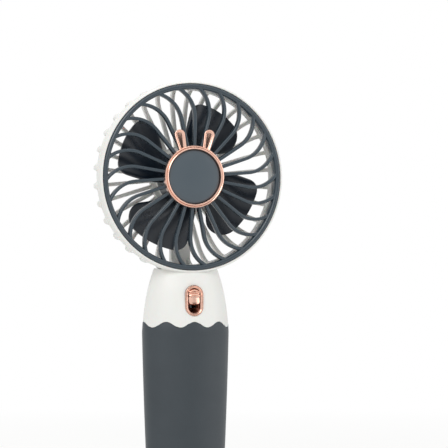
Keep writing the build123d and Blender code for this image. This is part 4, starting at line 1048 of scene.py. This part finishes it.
# %% Floor
def seen_directly(tree):
    """Socket that is 1 where the camera, a mirror or a glass looks straight at the surface."""
    ray = add_node(tree, "ShaderNodeLightPath")
    direct = add_node(tree, "ShaderNodeMath", {
        0: ray.outputs["Is Camera Ray"], 1: ray.outputs["Is Glossy Ray"],
    }, operation="MAXIMUM")
    through_glass = add_node(tree, "ShaderNodeMath", {
        0: direct.outputs["Value"], 1: ray.outputs["Is Transmission Ray"],
    }, operation="MAXIMUM")
    return through_glass.outputs["Value"]


bpy.ops.mesh.primitive_plane_add(size=30.0, location=(0, 0, -0.01 * MM))
floor = name_piece("floor")
paper, paper_tree, paper_output, paper_place = new_finish("pale_floor")
from_fan = add_node(paper_tree, "ShaderNodeVectorMath", {0: paper_place}, operation="LENGTH")
fade = add_node(paper_tree, "ShaderNodeMapRange", {
    "Value": from_fan.outputs["Value"], "From Min": 0.12, "From Max": 0.75,
    "To Min": 0.55, "To Max": 1.0,
})
glow_share = add_node(paper_tree, "ShaderNodeMath", {
    0: seen_directly(paper_tree), 1: fade.outputs["Result"],
}, operation="MULTIPLY")
paper_flat = add_node(paper_tree, "ShaderNodeBsdfDiffuse", {"Color": linear("#F4F4F2")})
paper_glow = add_node(paper_tree, "ShaderNodeEmission", {
    "Color": linear("#FFFFFF"), "Strength": 1.0,
})
paper_mix = add_node(paper_tree, "ShaderNodeMixShader", {
    0: glow_share.outputs["Value"], 1: paper_flat.outputs["BSDF"],
    2: paper_glow.outputs["Emission"],
})
paper_tree.links.new(paper_mix.outputs["Shader"], paper_output.inputs["Surface"])
floor.data.materials.append(paper)

# %% Dark card
card = rectangle(
    "dark_card", (0.56, -1.45, 0.1), (750.0, 1000.0), turn=(math.pi / 2, 0.0, math.radians(21)),
)
card.visible_camera = card.visible_diffuse = card.visible_shadow = False
felt, felt_tree, felt_output, felt_place = new_finish("black_felt")
felt_fibre = add_node(felt_tree, "ShaderNodeTexNoise", {
    "Vector": felt_place, "Scale": 1 / (3.0 * MM),
})
felt_colour = add_node(
    felt_tree, "ShaderNodeMix",
    {0: felt_fibre.outputs["Fac"], 6: linear("#1A1A1C"), 7: linear("#101012")}, data_type="RGBA",
)
felt_flat = add_node(felt_tree, "ShaderNodeBsdfDiffuse", {"Color": felt_colour.outputs[2]})
felt_tree.links.new(felt_flat.outputs["BSDF"], felt_output.inputs["Surface"])
card.data.materials.append(felt)

# %% Surroundings
world = bpy.data.worlds.new("studio")
bpy.context.scene.world = world
world.use_nodes = True
sky = world.node_tree
sky.nodes.clear()
sky_output = add_node(sky, "ShaderNodeOutputWorld")
sky_soft = add_node(sky, "ShaderNodeBackground", {"Color": linear("#FFFFFF"), "Strength": 0.6})
sky_white = add_node(sky, "ShaderNodeBackground", {"Color": linear("#FFFFFF"), "Strength": 1.0})
sky_mix = add_node(sky, "ShaderNodeMixShader", {
    0: seen_directly(sky), 1: sky_soft.outputs["Background"],
    2: sky_white.outputs["Background"],
})
sky.links.new(sky_mix.outputs["Shader"], sky_output.inputs["Surface"])

# %% Lamps
def panel(name, place, aim, size, power):
    """Square soft panel at a place in metres, turned towards a point."""
    bpy.ops.object.light_add(type="AREA", location=place)
    lamp = bpy.context.object
    lamp.name = lamp.data.name = name
    lamp.data.size = size
    lamp.data.energy = power
    away = [a - b for a, b in zip(place, aim)]
    flat = math.hypot(away[0], away[1])
    lamp.rotation_euler = (math.atan2(flat, away[2]), 0.0, math.atan2(away[0], -away[1]))
    return lamp


middle = (0.0, 0.0, 0.12)
panel("key", (-0.75, -0.9, 0.95), middle, 0.8, 7.5)
panel("fill", (1.0, -0.8, 0.35), middle, 1.0, 3.2)
panel("top", (0.0, 0.25, 1.3), middle, 0.9, 5.0)
